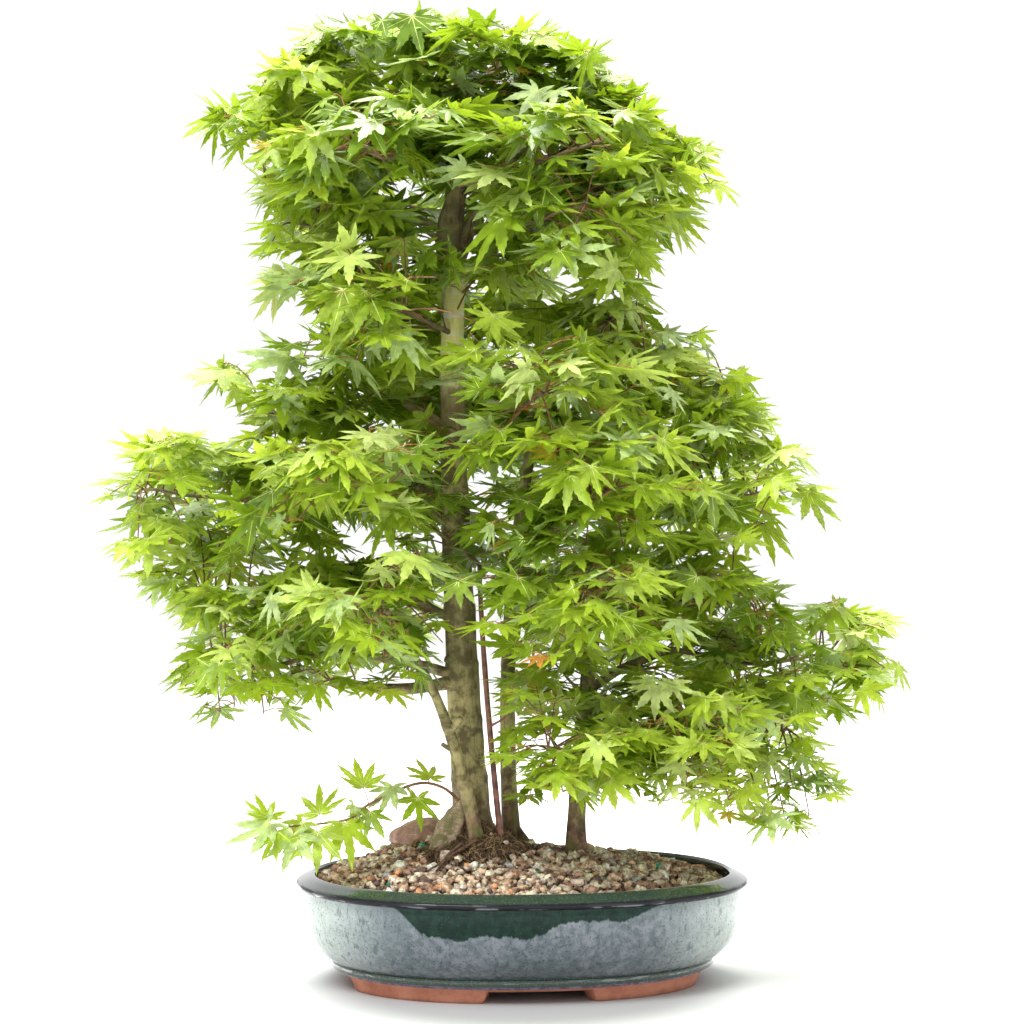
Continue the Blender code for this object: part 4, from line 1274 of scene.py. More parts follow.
        tones = [
            moss_finish("fibre_dark", (0.060, 0.030, 0.018), (0.160, 0.085, 0.050)),
            moss_finish("fibre_pale", (0.230, 0.140, 0.070), (0.460, 0.320, 0.170)),
        ]
        fibres.piece("root_fibres", tones, "bark")

    def execute(self, context):
        settings = context.scene.maple_grit
        self.lay_bed()
        self.lay_stones(settings)
        self.lay_litter(settings)
        return {"FINISHED"}


class MAPLE_OT_cobble(Operator):
    """Makes the russet cobble beside the main stem"""

    bl_idname = "maple.cobble"
    bl_label = "Cobble"

    def execute(self, context):
        low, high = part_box("rock")
        half = (high - low) / 2
        centre = (high + low) / 2 - MIDDLE
        mesh = bmesh.new()
        bmesh.ops.create_icosphere(mesh, subdivisions=5, radius=1)
        points = []
        for v in mesh.verts:
            n = v.co.normalized()
            swell = 1 + 0.05 * (math.sin(3 * n.x + 1) + math.sin(4 * n.y + 2 * n.z)) - 0.05
            swell += 0.05 * noise.fractal(n * 2.2, 1, 2, 4) + 0.012 * noise.noise(n * 14)
            flat = math.copysign(abs(n.z) ** 0.85, n.z)
            low_end = 0.70 + 0.14 * n.x
            points.append((centre.x + n.x * half.x * swell, centre.y + n.y * half.y * swell,
                           low.z + half.z * (1 + flat * swell) * low_end))
        faces = [[v.index for v in f.verts] for f in mesh.faces]
        mesh.free()
        pile = Pile()
        pile.add(points, faces)
        pile.piece("cobble", [cobble_finish()], "cobble", ["rock"])
        return {"FINISHED"}


# Roots that lie on the soil, by stem: points, radius at the start and at the end, and sides.
SURFACE_ROOTS = {
    "trunk_main": (
        (((-0.040, -0.014, 0.124), (-0.052, -0.036, 0.112), (-0.064, -0.046, 0.105), (-0.078, -0.054, 0.099)),
         0.0052, 0.0018, 14),
        (((-0.052, 0.004, 0.122), (-0.068, 0.004, 0.110), (-0.084, 0.000, 0.104), (-0.100, -0.004, 0.098)),
         0.0060, 0.0020, 14),
        (((-0.030, -0.014, 0.122), (-0.016, -0.030, 0.109), (-0.006, -0.040, 0.104), (0.006, -0.050, 0.099)),
         0.0046, 0.0014, 12),
        (((-0.038, 0.012, 0.120), (-0.046, 0.034, 0.108), (-0.052, 0.050, 0.103), (-0.056, 0.062, 0.098)),
         0.0050, 0.0016, 12),
    ),
    "trunk_second": (
        (((-0.006, 0.033, 0.122), (0.004, 0.030, 0.111), (0.014, 0.026, 0.105), (0.026, 0.022, 0.099)),
         0.0048, 0.0014, 12),
        (((-0.010, 0.036, 0.118), (-0.006, 0.048, 0.108), (-0.002, 0.058, 0.102), (0.004, 0.066, 0.098)),
         0.0040, 0.0012, 12),
    ),
    "trunk_third": (
        (((0.046, -0.014, 0.112), (0.056, -0.018, 0.106), (0.064, -0.020, 0.102), (0.070, -0.022, 0.098)),
         0.0036, 0.0012, 10),
    ),
}
# The swollen old root beside the left stem: points, and its radius at each.
BURL = (((-0.068, -0.018, 0.098), (-0.063, -0.022, 0.115), (-0.057, -0.026, 0.131), (-0.050, -0.029, 0.146),
         (-0.044, -0.030, 0.158)), (0.0150, 0.0150, 0.0130, 0.0090, 0.0040))
# Stubs, buds and side shoots: where on the stem, which way, how long and how thick.
SHOOTS = {
    "trunk_main": (
        (0.251, (-1.0, -0.20, -0.12), 0.112, 0.0056), (0.262, (-0.9, -0.5, 0.45), 0.016, 0.0052),
        (0.290, (-0.9, -0.7, 0.30), 0.011, 0.0062), (0.300, (0.8, -0.6, 0.5), 0.011, 0.0034),
        (0.618, (-0.95, -0.25, 0.35), 0.030, 0.0046), (0.622, (0.80, -0.2, 0.35), 0.050, 0.0042),
        (0.588, (0.45, -0.3, 0.95), 0.050, 0.0028),
        (0.505, (0.9, -0.4, 0.4), 0.018, 0.0026), (0.455, (-0.9, -0.4, 0.6), 0.040, 0.0026),
        (0.560, (0.2, 0.9, 0.5), 0.050, 0.0030), (0.350, (-0.3, 0.9, 0.5), 0.050, 0.0030)),
    "stem_left": (
        (0.212, (0.65, -0.5, 0.6), 0.016, 0.0038), (0.196, (-0.9, -0.3, 0.35), 0.012, 0.0024),
        (0.150, (-0.8, -0.5, 0.4), 0.006, 0.0030)),
    "trunk_second": ((0.240, (0.8, -0.3, 0.6), 0.050, 0.0020), (0.330, (-0.7, 0.5, 0.6), 0.050, 0.0018)),
    "trunk_third": ((0.165, (0.8, -0.6, 0.4), 0.006, 0.0030), (0.240, (-0.7, -0.5, 0.6), 0.040, 0.0018),
                    (0.300, (0.3, 0.8, 0.6), 0.050, 0.0020)),
    "stem_right": ((0.215, (0.8, -0.4, 0.5), 0.030, 0.0011),),
}
# Shorter shoots are stubs and longer ones are limbs. Both keep most of their thickness.
STUB_LENGTH = 0.02
LIMB_LENGTH = 0.1
CROTCH_HEIGHT = 0.625  # where the high boughs leave the main stem
CROTCH_RUN = 0.030
CROTCH_SWELL = 0.42
CROTCH_LEAN = 0.0055
BARK_SHARE = 0.93  # of the solids' radius
NODE_SPACING = 0.047  # between the slight rings on a stem
BURIED_RINGS = 4  # rings of a stem that stand in the soil


class MAPLE_OT_stems(Operator):
    """Makes the five stems with their bark, roots, stubs and boughs"""

    bl_idname = "maple.stems"
    bl_label = "Stems and boughs"

    def stem(self, name, limb, relief, finish):
        """One stem with its bark, ring marks, roots, stubs and shoots."""
        sides = STEMS[name].sides
        points, radii = limb_line(limb, round(sides * 3.6) + 10)
        below = [limb.points[0] - Vector((0, 0, 0.020 - 0.005 * k)) for k in range(BURIED_RINGS)]
        points = below + points
        radii = [r * BARK_SHARE for r in [radii[0] * 1.10] * BURIED_RINGS + radii]
        if name == "trunk_main":
            for k, p in enumerate(points):
                near = math.exp(-((p.z - CROTCH_HEIGHT) / CROTCH_RUN) ** 2)
                radii[k] *= 1 + CROTCH_SWELL * near
                points[k] = p - Vector((CROTCH_LEAN * near, 0, 0))
        seed = 3.7 * len(name)
        ridges = []
        for k, p in enumerate(points):
            rise = max(p.z - SOIL_TOP, 0)
            ridges.append(0.16 * math.exp(-rise / 0.024) + 0.035)
            node = math.exp(-((rise % NODE_SPACING - 0.020) / 0.0028) ** 2) if rise > 0.06 else 0
            radii[k] *= 1 + 0.055 * node
        pile = Pile()
        bark_tube(pile, points, radii, sides, relief, seed, ridges)
        for line, start, end, root_sides in SURFACE_ROOTS.get(name, ()):
            course = bend(line, 6)
            for k, p in enumerate(course[1:-1], 1):
                p.z += 0.0008 * noise.noise(p * 120)
            thick = tapered(start, end, len(course))
            ridge = [0.10] * len(course)
            bark_tube(pile, course, thick, root_sides, relief * 2.4, seed + start * 900, ridge)
        if name == "stem_left":
            line, thick = BURL
            course = bend(line, 7)
            swell = np.interp(np.linspace(0, 4, len(course)), range(5), thick)
            bark_tube(pile, course, list(swell), 44, relief * 3.6, 8.1, [0.16] * len(course))
        for height, way, length, thick in SHOOTS.get(name, ()):
            start = limb.at(limb.t_at_height(height))
            way = Vector(way).normalized()
            end = start + way * length + Vector((0, 0, length * 0.12))
            middle = (start + end) / 2 - Vector((0, 0, length * 0.06))
            course = bend((start, middle, end), 5)
            kept = 0.72 if length < STUB_LENGTH or length > LIMB_LENGTH else 0.42
            widths = tapered(thick, thick * kept, len(course))
            widths[0] *= 1.5
            widths[1] *= 1.2
            bark_tube(pile, course, widths, 10, relief, height * 50, [0.03] * len(course))
        if name == "stem_right":
            finish = shoot_finish()
        pile.piece(name + "_bark", [finish], "bark", [name], sharp=60)

    def execute(self, context):
        relief = context.scene.maple_bark.relief
        stems = lay_out_stems()
        pads = lay_out_pads()
        finish = bark_finish()
        for name, limb in stems.items():
            self.stem(name, limb, relief, finish)
        pile = Pile()
        for k, (name, bough) in enumerate(lay_out_boughs(pads, stems).items()):
            points, radii = limb_line(bough, 34)
            radii[0] *= 1.55
            radii[1] *= 1.30
            radii[2] *= 1.12
            for i in range(4, len(points) - 1):
                points[i] = points[i] + wander(points[i], 34, k) * 0.0024
            bark_tube(pile, points, radii, 12, relief, 5.3 * k, [0.03] * len(points))
        nodes = ["bough_" + name for name in ON_BOUGH]
        pile.piece("boughs_bark", [finish], "bark", nodes, sharp=60)
        return {"FINISHED"}


# --- Foliage ------------------------------------------------------------------------------------

# The crown's outline between its tiers: height, then reach left, right, and to front and back.
CROWN_WIDTHS = (
    (0.105, 0.300, 0.255, 0.180), (0.135, 0.300, 0.284, 0.185), (0.168, 0.300, 0.314, 0.190),
    (0.200, 0.300, 0.300, 0.200), (0.235, 0.288, 0.325, 0.210), (0.268, 0.278, 0.362, 0.220),
    (0.302, 0.276, 0.352, 0.226), (0.336, 0.284, 0.270, 0.230), (0.369, 0.350, 0.250, 0.234),
    (0.403, 0.330, 0.292, 0.236), (0.437, 0.320, 0.274, 0.236), (0.470, 0.280, 0.258, 0.230),
    (0.504, 0.252, 0.235, 0.225), (0.538, 0.224, 0.188, 0.215), (0.572, 0.204, 0.162, 0.205),
    (0.605, 0.192, 0.148, 0.205), (0.639, 0.200, 0.180, 0.205), (0.673, 0.204, 0.212, 0.210),
    (0.706, 0.248, 0.180, 0.215), (0.740, 0.228, 0.132, 0.200), (0.774, 0.184, 0.098, 0.150),
    (0.800, 0.160, 0.072, 0.110), (0.825, 0.120, 0.050, 0.070))
MOST_DRAWN_IN = 0.040

# Heights between which the main trunk shows through the crown, the share of leaves held back
# there, and how far to each side of it.
TRUNK_WINDOWS = (
    (0.612, 0.656, 0.94, 0.030), (0.515, 0.580, 1.0, 0.033), (0.455, 0.505, 0.82, 0.027),
    (0.330, 0.455, 0.35, 0.027), (0.245, 0.330, 0.80, 0.027))
# Open ground: between which heights, between which x, and the share of leaves held back.
OPEN_FEET = (
    (0.178, 0.252, -0.100, -0.026, 0.93), (0.0, 0.190, -0.072, -0.004, 0.96),
    (0.0, 0.160, -0.072, 0.135, 0.97), (0.0, 0.150, -0.118, -0.056, 0.97),
    (0.190, 0.238, -0.242, -0.160, 0.80), (0.190, 0.242, -0.160, -0.062, 0.88))
# The dome over the crown: x, then the height that no leaf's tip passes. It falls off by CROWN_FALL to
# the front and the back.
CROWN_TOP = ((-0.30, 0.730), (-0.26, 0.745), (-0.19, 0.792), (-0.15, 0.808), (-0.10, 0.814), (-0.04, 0.808),
             (0.00, 0.799), (0.04, 0.788), (0.08, 0.768), (0.12, 0.742))
CROWN_FALL = 0.20
# The open spray that arches from the stem's foot over the pot's left end: its twig, and its leaves
# by heart, bearing, fall in degrees and size.
FOOT_TWIG = (
    (-0.0500, -0.028, 0.1500), (-0.0662, -0.037, 0.1650), (-0.0887, -0.047, 0.1690),
    (-0.1252, -0.070, 0.1550), (-0.1386, -0.078, 0.1450), (-0.1627, -0.090, 0.1418),
    (-0.2020, -0.100, 0.1400))
FOOT_LEAVES = (
    (-0.0760, -0.048, 0.1740, 120, -40, 0.85), (-0.1064, -0.062, 0.1690, 235, 55, 0.95),
    (-0.0860, -0.060, 0.1590, 285, 60, 0.95), (-0.1300, -0.070, 0.1690, 115, -42, 0.95),
    (-0.1640, -0.088, 0.1500, 100, -45, 1.00), (-0.1437, -0.092, 0.1427, 300, 50, 1.20),
    (-0.1776, -0.094, 0.1433, 215, 45, 1.05), (-0.1643, -0.106, 0.1373, 275, 60, 1.10),
    (-0.2028, -0.104, 0.1437, 195, 32, 1.20), (-0.1831, -0.108, 0.1360, 255, 62, 1.10),
    (-0.1387, -0.078, 0.1560, 325, 40, 0.95), (-0.2040, -0.098, 0.1480, 125, -40, 0.90),
    (-0.1240, -0.078, 0.1500, 255, 50, 0.85), (-0.1960, -0.112, 0.1390, 225, 50, 1.00))
FOOT_LEAF = 0.95
INNER_TWIGS = 4
BOUGH_TWIGS = 5
BEND_STEPS = 7  # points of a mass's own stem up to its hub
TWIG_START = 0.0012
SHORTEST_TWIG = 0.012
STALK_RADII = (0.00055, 0.00045, 0.00055)
LEVEL_LEAVES = 0.62  # share of the leaves that lie nearly level, where the others hang
MASS_REACH = 1.26  # how far the leaves of a mass may stand out beyond its space
TWIG_REACH = 0.95  # of the crown's own reach
# Gaps right through the crown, as seen from EYE: their centres' x and z, half width and half height.
SKY_GAPS = (
    (0.234, 0.351, 0.036, 0.034), (-0.265, 0.483, 0.036, 0.018), (-0.205, 0.562, 0.026, 0.021),
    (-0.286, 0.283, 0.021, 0.016), (0.261, 0.201, 0.016, 0.022), (-0.348, 0.390, 0.014, 0.015),
    (-0.139, 0.367, 0.023, 0.017), (0.121, 0.582, 0.020, 0.044), (-0.232, 0.690, 0.017, 0.012),
    (0.117, 0.536, 0.014, 0.010), (-0.127, 0.773, 0.010, 0.007), (-0.188, 0.607, 0.012, 0.010))
SKY_SHARE = 0.90
# Twigs that reach or hang beyond the even round of their mass, by where they end.
EXTRA_ENDS = {
    "top": (
        (-0.120, 0.000, 0.796), (-0.078, -0.030, 0.797), (-0.060, 0.030, 0.800), (-0.020, -0.010, 0.796),
        (-0.150, -0.020, 0.790), (-0.140, 0.030, 0.795), (-0.100, -0.050, 0.790), (0.010, 0.020, 0.796),
        (-0.100, 0.050, 0.798), (0.020, -0.030, 0.786)),
    "crest_left": ((-0.165, -0.020, 0.778), (-0.150, 0.030, 0.784)),
    "wide_left": (
        (-0.350, -0.030, 0.376), (-0.330, 0.020, 0.392), (-0.315, -0.060, 0.366), (-0.312, -0.020, 0.360)),
    "high_left": ((-0.268, -0.020, 0.728), (-0.245, -0.060, 0.716)),
    "high_right": (
        (0.140, -0.040, 0.690), (0.120, 0.040, 0.700), (0.168, -0.020, 0.692), (0.160, 0.010, 0.668)),
    "skirt_right": (
        (0.170, -0.060, 0.152), (0.205, -0.030, 0.150), (0.150, -0.020, 0.160), (0.235, -0.010, 0.166),
        (0.246, -0.040, 0.142), (0.216, -0.060, 0.136), (0.262, -0.020, 0.156), (0.196, -0.075, 0.142)),
    "skirt_front_right": ((0.130, -0.110, 0.170), (0.165, -0.100, 0.162), (0.060, -0.130, 0.196)),
    "under_right": (
        (0.310, -0.020, 0.262), (0.290, 0.040, 0.250), (0.318, -0.030, 0.296), (0.306, 0.020, 0.300)),
}
# Leafy shoots straight from a stem: stem, height, bearing, run and rise, by the mass they belong to.
STEM_SPRAYS = {
    "upper_front_right": (
        ("trunk_main", 0.630, 285, 0.075, 0.30), ("trunk_main", 0.604, 320, 0.085, 0.20),
        ("trunk_main", 0.592, 265, 0.070, 0.10), ("trunk_main", 0.640, 20, 0.080, 0.20)),
    "neck_right": (
        ("trunk_main", 0.570, 330, 0.090, 0.35), ("trunk_main", 0.556, 295, 0.080, 0.45),
        ("trunk_main", 0.540, 10, 0.085, 0.30), ("trunk_main", 0.575, 45, 0.080, 0.30)),
    "neck_left": (
        ("trunk_main", 0.615, 200, 0.075, 0.20), ("trunk_main", 0.585, 160, 0.080, 0.10),
        ("trunk_main", 0.560, 215, 0.085, 0.15)),
    "middle_right": (
        ("trunk_main", 0.490, 335, 0.095, 0.30), ("trunk_second", 0.440, 300, 0.090, 0.30),
        ("trunk_second", 0.378, 225, 0.050, 0.20), ("trunk_second", 0.400, 262, 0.055, 0.10),
        ("trunk_main", 0.395, 345, 0.060, 0.10), ("trunk_second", 0.352, 250, 0.050, 0.15)),
    "low_front_left": (
        ("trunk_second", 0.226, 335, 0.050, 0.05), ("trunk_third", 0.232, 200, 0.052, 0.10),
        ("trunk_second", 0.238, 345, 0.075, 0.10), ("trunk_second", 0.262, 315, 0.080, 0.05),
        ("trunk_second", 0.275, 25, 0.070, 0.05), ("trunk_third", 0.255, 215, 0.060, 0.05)),
    "low_right": (
        ("trunk_third", 0.262, 265, 0.080, 0.25), ("trunk_third", 0.290, 320, 0.085, 0.20),
        ("trunk_third", 0.245, 345, 0.085, 0.10), ("trunk_third", 0.300, 235, 0.080, 0.25)),
    "skirt_front": (
        ("trunk_third", 0.225, 285, 0.080, 0.05), ("trunk_third", 0.215, 335, 0.085, 0.00),
        ("trunk_third", 0.235, 20, 0.080, 0.10)),
}
# Leafy twigs on the low left limb, by the mass they belong to: root and end.
LIMB_SPRAYS = {
    "under_left": (
        ((-0.112, -0.012, 0.252), (-0.120, -0.040, 0.244)),
        ((-0.150, -0.018, 0.252), (-0.172, -0.040, 0.250)),
        ((-0.162, -0.020, 0.253), (-0.195, -0.015, 0.256)),
        ((-0.140, -0.016, 0.253), (-0.150, -0.035, 0.272)),
        ((-0.160, -0.020, 0.252), (-0.178, 0.012, 0.256)),
        ((-0.095, -0.010, 0.253), (-0.100, 0.020, 0.275))),
}


def crown_reach(height, way):
    """How far the crown reaches from its axis at a height, in a direction."""
    heights, lefts, rights, depths = zip(*CROWN_WIDTHS)
    x = np.interp(height, heights, rights if way.x > 0 else lefts)
    y = np.interp(height, heights, depths)
    length = max(math.hypot(way.x, way.y), 1e-6)
    return 1 / math.hypot(way.x / length / x, way.y / length / y)


class MAPLE_OT_foliage(Operator):
    """Grows every mass of leaves from its limb: its own stem, side twigs, leaf stalks and leaves"""

    bl_idname = "maple.foliage"
    bl_label = "Foliage"

    def stalk_of(self, pad, stems, boughs):
        """The line of a mass's own stem from what carries it, and its radius at the start."""
        if pad.name in ON_TIP:
            holder = stems[ON_TIP[pad.name]]
        elif pad.name in boughs:
            holder = boughs[pad.name]
        else:
            holder = None
        if holder:
            start, radius = holder.at(1), holder.tip * 1.05
        else:
            start, _ = root_towards(carrier_of(pad.name, stems), pad, BOUGH_RISE)
            radius = 0.0026
        hub = pad.centre + (start - pad.centre) * HUB_SHARE
        hub.z = pad.centre.z - HUB_DROP * pad.half.z
        return [start, hub, pad.place(*STALK_END)], radius

    def tone_of(self, chance, end, level):
        """A tone for a whole spray: brighter at the crown's rim as painted light and deeper within as painted
        shade, brighter too in its low tiers and deeper at the very top."""
        flat = Vector((end.x - CROWN_AXIS_X, end.y, 0))
        rim = min(flat.length / crown_reach(end.z, flat), 1.05)
        light = 0.40 + 0.16 * level + 0.34 * (rim - 0.60) + chance.gauss(0, 0.21)
        light += np.interp(end.z, (0.16, 0.30, 0.62, 0.72), (0.08, 0.0, 0.06, -0.16))
        # A few sprays get the painted sheen.
        if chance.random() < SHEEN_SPRAYS:
            return SHEEN
        for tone, least in ((LIME, 0.96), (BRIGHT, 0.76), (FRESH, 0.56), (GREEN, 0.36), (FULL, 0.16)):
            if light > least:
                return tone
        return DEEP

    def grow_pad(self, pad, line, radius, chance, twigs):
        """The stem of a mass, and the twigs that leave it all round to fill the mass's space."""
        course = bend(line, BEND_STEPS)
        hub_at = BEND_STEPS
        while len(course) > hub_at + 3 and self.in_a_gap(course[-1], 1.1):
            course.pop()
        count = len(course)
        for k in range(2, count - 1):
            course[k] = course[k] + wander(course[k], 40, 5) * 0.002
        thin_tube(twigs, course, tapered(radius, TWIG_START, count), 6)
        more = np.interp(pad.centre.z, (0.28, 0.45), (1.38, 1.0))
        number = max(round(self.settings.twigs * more * (pad.half.x + pad.half.y) / 0.2), 8)
        first = chance.uniform(0, FULL_TURN)
        for k in range(number):
            turn = first + GOLDEN_TURN * k + chance.uniform(-0.25, 0.25)
            level = chance.uniform(-0.92, 0.88)
            girth = math.sqrt(1 - level * level)
            reach = girth * (chance.uniform(0.62, 0.92) if k % 3 else chance.uniform(0.25, 0.60))
            share = (1 + math.cos(turn)) / 2
            place = hub_at + min(max(share, 0.03), 0.97) * (count - 1 - hub_at)
            root = course[int(place)].lerp(course[min(int(place) + 1, count - 1)], place % 1)
            end = pad.place(reach * math.cos(turn), reach * math.sin(turn), level)
            self.grow_twig(pad, root, end, level, chance, twigs)
        for k in range(INNER_TWIGS):
            place = (0.15 + 0.8 * k / INNER_TWIGS) * hub_at
            root = course[int(place)].lerp(course[int(place) + 1], place % 1)
            self.grow_twig(pad, root, self.beside(root, pad, chance), 0.2, chance, twigs, True)
        for end in EXTRA_ENDS.get(pad.name, ()):
            end = Vector(end)
            root = min(course[hub_at:], key=lambda p: (p - end).length)
            self.grow_twig(pad, root, end, 0.3, chance, twigs, True)

    def beside(self, root, pad, chance):
        """Where a short side twig of a bough ends."""
        side = Matrix.Rotation(chance.choice((-1, 1)) * chance.uniform(0.3, 1.3), 3, "Z") @ pad.out
        return root + side * chance.uniform(0.025, 0.060) + Vector((0, 0, chance.uniform(-0.012, 0.032)))

    def grow_twig(self, pad, root, end, level, chance, twigs, free=False):
        """One leafy twig, kept within the crown. A free one may leave the space of its mass."""
        end = self.under_the_dome(end, end)
        flat = Vector((end.x - CROWN_AXIS_X, end.y, 0))
        beyond = flat.length - crown_reach(end.z, flat) * TWIG_REACH
        end = end - flat.normalized() * max(beyond, 0)
        run = (end - root).length
        rise = root.lerp(end, 0.45) + Vector((0, 0, run * chance.uniform(0.05, 0.22)))
        if self.in_the_open(end, chance) or run < SHORTEST_TWIG:
            return
        if self.in_a_gap(rise, 1.0) or self.in_a_gap(end, 1.1):
            return
        twig = bend((root, rise, end), 4)
        thin_tube(twigs, twig, tapered(0.0010, 0.00055, len(twig)), 3, 1)
        self.leaf_a_twig(pad, twig, self.tone_of(chance, end, level), chance, free)

    def leaf_a_bough(self, pad, bough, chance, twigs):
        """Short leafy side twigs along a bough, between its stem and its mass."""
        for k in range(BOUGH_TWIGS):
            root = bough.at(0.30 + 0.65 * k / (BOUGH_TWIGS - 1))
            self.grow_twig(pad, root, self.beside(root, pad, chance), 0.0, chance, twigs, True)

    def leaf_a_twig(self, pad, twig, tone, chance, free=False):
        """Leaves in pairs along the outer part of a twig, and one at its end."""
        settings = self.settings
        last = len(twig) - 1
        direction = (twig[-1] - twig[-3]).normalized()
        run = sum((b - a).length for a, b in zip(twig, twig[1:]))
        nodes = 3 if run > 0.055 else 2
        sites = []
        for k in range(nodes):
            t = 1 - 0.30 * (nodes - 1 - k) - chance.uniform(0, 0.05)
            for sign in (-1, 1):
                sites.append((t, sign * chance.uniform(0.75, 1.25)))
        sites.append((1.0, chance.uniform(-0.25, 0.25)))
        for t, yaw in sites:
            place = t * last
            foot = twig[min(int(place), last)].lerp(twig[min(int(place) + 1, last)], place % 1)
            flat = Vector((direction.x, direction.y, 0))
            outward = Vector((foot.x - pad.centre.x, foot.y - pad.centre.y, 0))
            flat = (flat.normalized() * 0.8 + outward.normalized() * 0.7).normalized()
            way = Matrix.Rotation(yaw, 3, "Z") @ flat
            stalk_run = settings.leaf * chance.uniform(0.30, 0.62)
            lift = chance.uniform(-0.25, 0.45)
            heart = foot + (way + Vector((0, 0, lift))).normalized() * stalk_run
            size = settings.leaf * min(max(chance.gauss(1.0, 0.19), 0.55), 1.35)
            size *= np.interp(foot.z, (0.20, 0.30, 0.46), (0.76, 0.80, 1.0))
            turned = Matrix.Rotation(chance.uniform(-0.5, 0.5), 3, "Z") @ way
            middle_fall, spread = (13, 13) if chance.random() < LEVEL_LEAVES else (44, 16)
            fall = math.radians(min(max(chance.gauss(middle_fall, spread), -15), 84))
            out = turned * math.cos(fall) - Vector((0, 0, math.sin(fall)))
            heart = self.drawn_in(None if free else pad, heart, out * size, chance)
            if heart is None:
                continue
            heart = self.under_the_dome(heart, heart + out * size)
            if self.hides_the_trunk(heart + out * size * 0.4, chance):
                continue
            self.set_leaf(foot, heart, turned, out, size, tone, chance)

    def set_leaf(self, foot, heart, turned, out, size, tone, chance):
        """One leaf at its heart, on a stalk from its foot on the twig."""
        side = turned.cross(Vector((0, 0, 1)))
        roll = chance.gauss(0, 0.36)
        normal = (side.cross(out) * math.cos(roll) + side * math.sin(roll)).normalized()
        side = normal.cross(out)
        out = side.cross(normal).normalized()
        own_tone = tone
        if not (chance.random() < 0.75 or tone > DEEP):
            own_tone = min(max(tone + chance.choice((-1, 1)), 0), DEEP)
        # A few single leaves get the painted sheen.
        if chance.random() < SHEEN_LEAVES:
            own_tone = SHEEN
        if chance.random() < AUTUMN_LEAVES:
            own_tone, size = chance.choice((GOLD, GOLD, RUSSET)), size * 0.55
        shape = chance.randrange(LEAF_SHAPES)
        self.leaves.add(self.group, shape, heart, out, normal, size, own_tone)
        middle = foot.lerp(heart, 0.5) + Vector((0, 0, (heart - foot).length * 0.10))
        thin_tube(self.stalks, [foot, middle, heart], STALK_RADII, 3, chance.choice((0, 0, 1)))

    def grow_foot_spray(self, chance, twigs):
        """The low spray at the left, leaf by leaf."""
        course = bend([Vector(p) for p in FOOT_TWIG], 5)
        thin_tube(twigs, course, tapered(0.0015, 0.0007, len(course)), 6, 1)
        for x, y, z, bearing, fall, size in FOOT_LEAVES:
            heart = Vector((x, y, z))
            turned, fall = heading(bearing), math.radians(fall)
            out = turned * math.cos(fall) - Vector((0, 0, math.sin(fall)))
            root = min(course, key=lambda p: (p - heart).length)
            self.set_leaf(root, heart, turned, out, self.settings.leaf * size * FOOT_LEAF, GREEN, chance)

    def drawn_in(self, pad, heart, leaf, chance):
        """A leaf's heart, drawn in until its tip keeps to its mass and to the crown's outline, or none
        where that would crowd it."""
        over = pad.distance(heart + leaf * 0.7) if pad else 0
        if over > MASS_REACH:
            heart = heart.lerp(pad.centre, (over - MASS_REACH) / over)
        tip = heart + leaf
        flat = Vector((tip.x - CROWN_AXIS_X, tip.y, 0))
        most = crown_reach(heart.z, flat) * (0.99 + abs(chance.gauss(0, 0.03)))
        out_by = flat.length - most
        if out_by > MOST_DRAWN_IN:
            return None
        return heart - flat.normalized() * max(out_by, 0)

    def under_the_dome(self, heart, tip):
        """A leaf's heart, lowered until it and its tip lie under the crown's dome."""
        xs, tops = zip(*CROWN_TOP)
        over = max(end.z + CROWN_FALL * abs(end.y) - np.interp(end.x, xs, tops) for end in (heart, tip))
        return heart - Vector((0, 0, max(over, 0)))

    def in_a_gap(self, place, room):
        """True where a place is seen in one of the gaps through the crown."""
        nearer = -EYE[1] / (place.y - EYE[1])
        x, z = EYE[0] + (place.x - EYE[0]) * nearer, EYE[2] + (place.z - EYE[2]) * nearer
        return any(math.hypot((x - gap_x) / wide, (z - gap_z) / high) < room
                   for gap_x, gap_z, wide, high in SKY_GAPS)

    def in_the_open(self, place, chance):
        """True for most of what would hang in the open space under the crown or in a gap through it."""
        if self.in_a_gap(place, 1.05) and chance.random() < SKY_SHARE:
            return True
        return any(
            low < place.z < high and left < place.x < right and place.y < 0.05 and chance.random() < share
            for low, high, left, right, share in OPEN_FEET)

    def hides_the_trunk(self, middle, chance):
        """True for most leaves in front of the main trunk where it shows through the crown, and in
        the open space under the crown."""
        if self.in_the_open(middle, chance):
            return True
        trunk = self.stems["trunk_main"]
        at = trunk.at(trunk.t_at_height(middle.z))
        if middle.y > at.y:
            return False
        return any(
            low < middle.z < high and abs(middle.x - at.x) < view and chance.random() < share
            for low, high, share, view in TRUNK_WINDOWS)

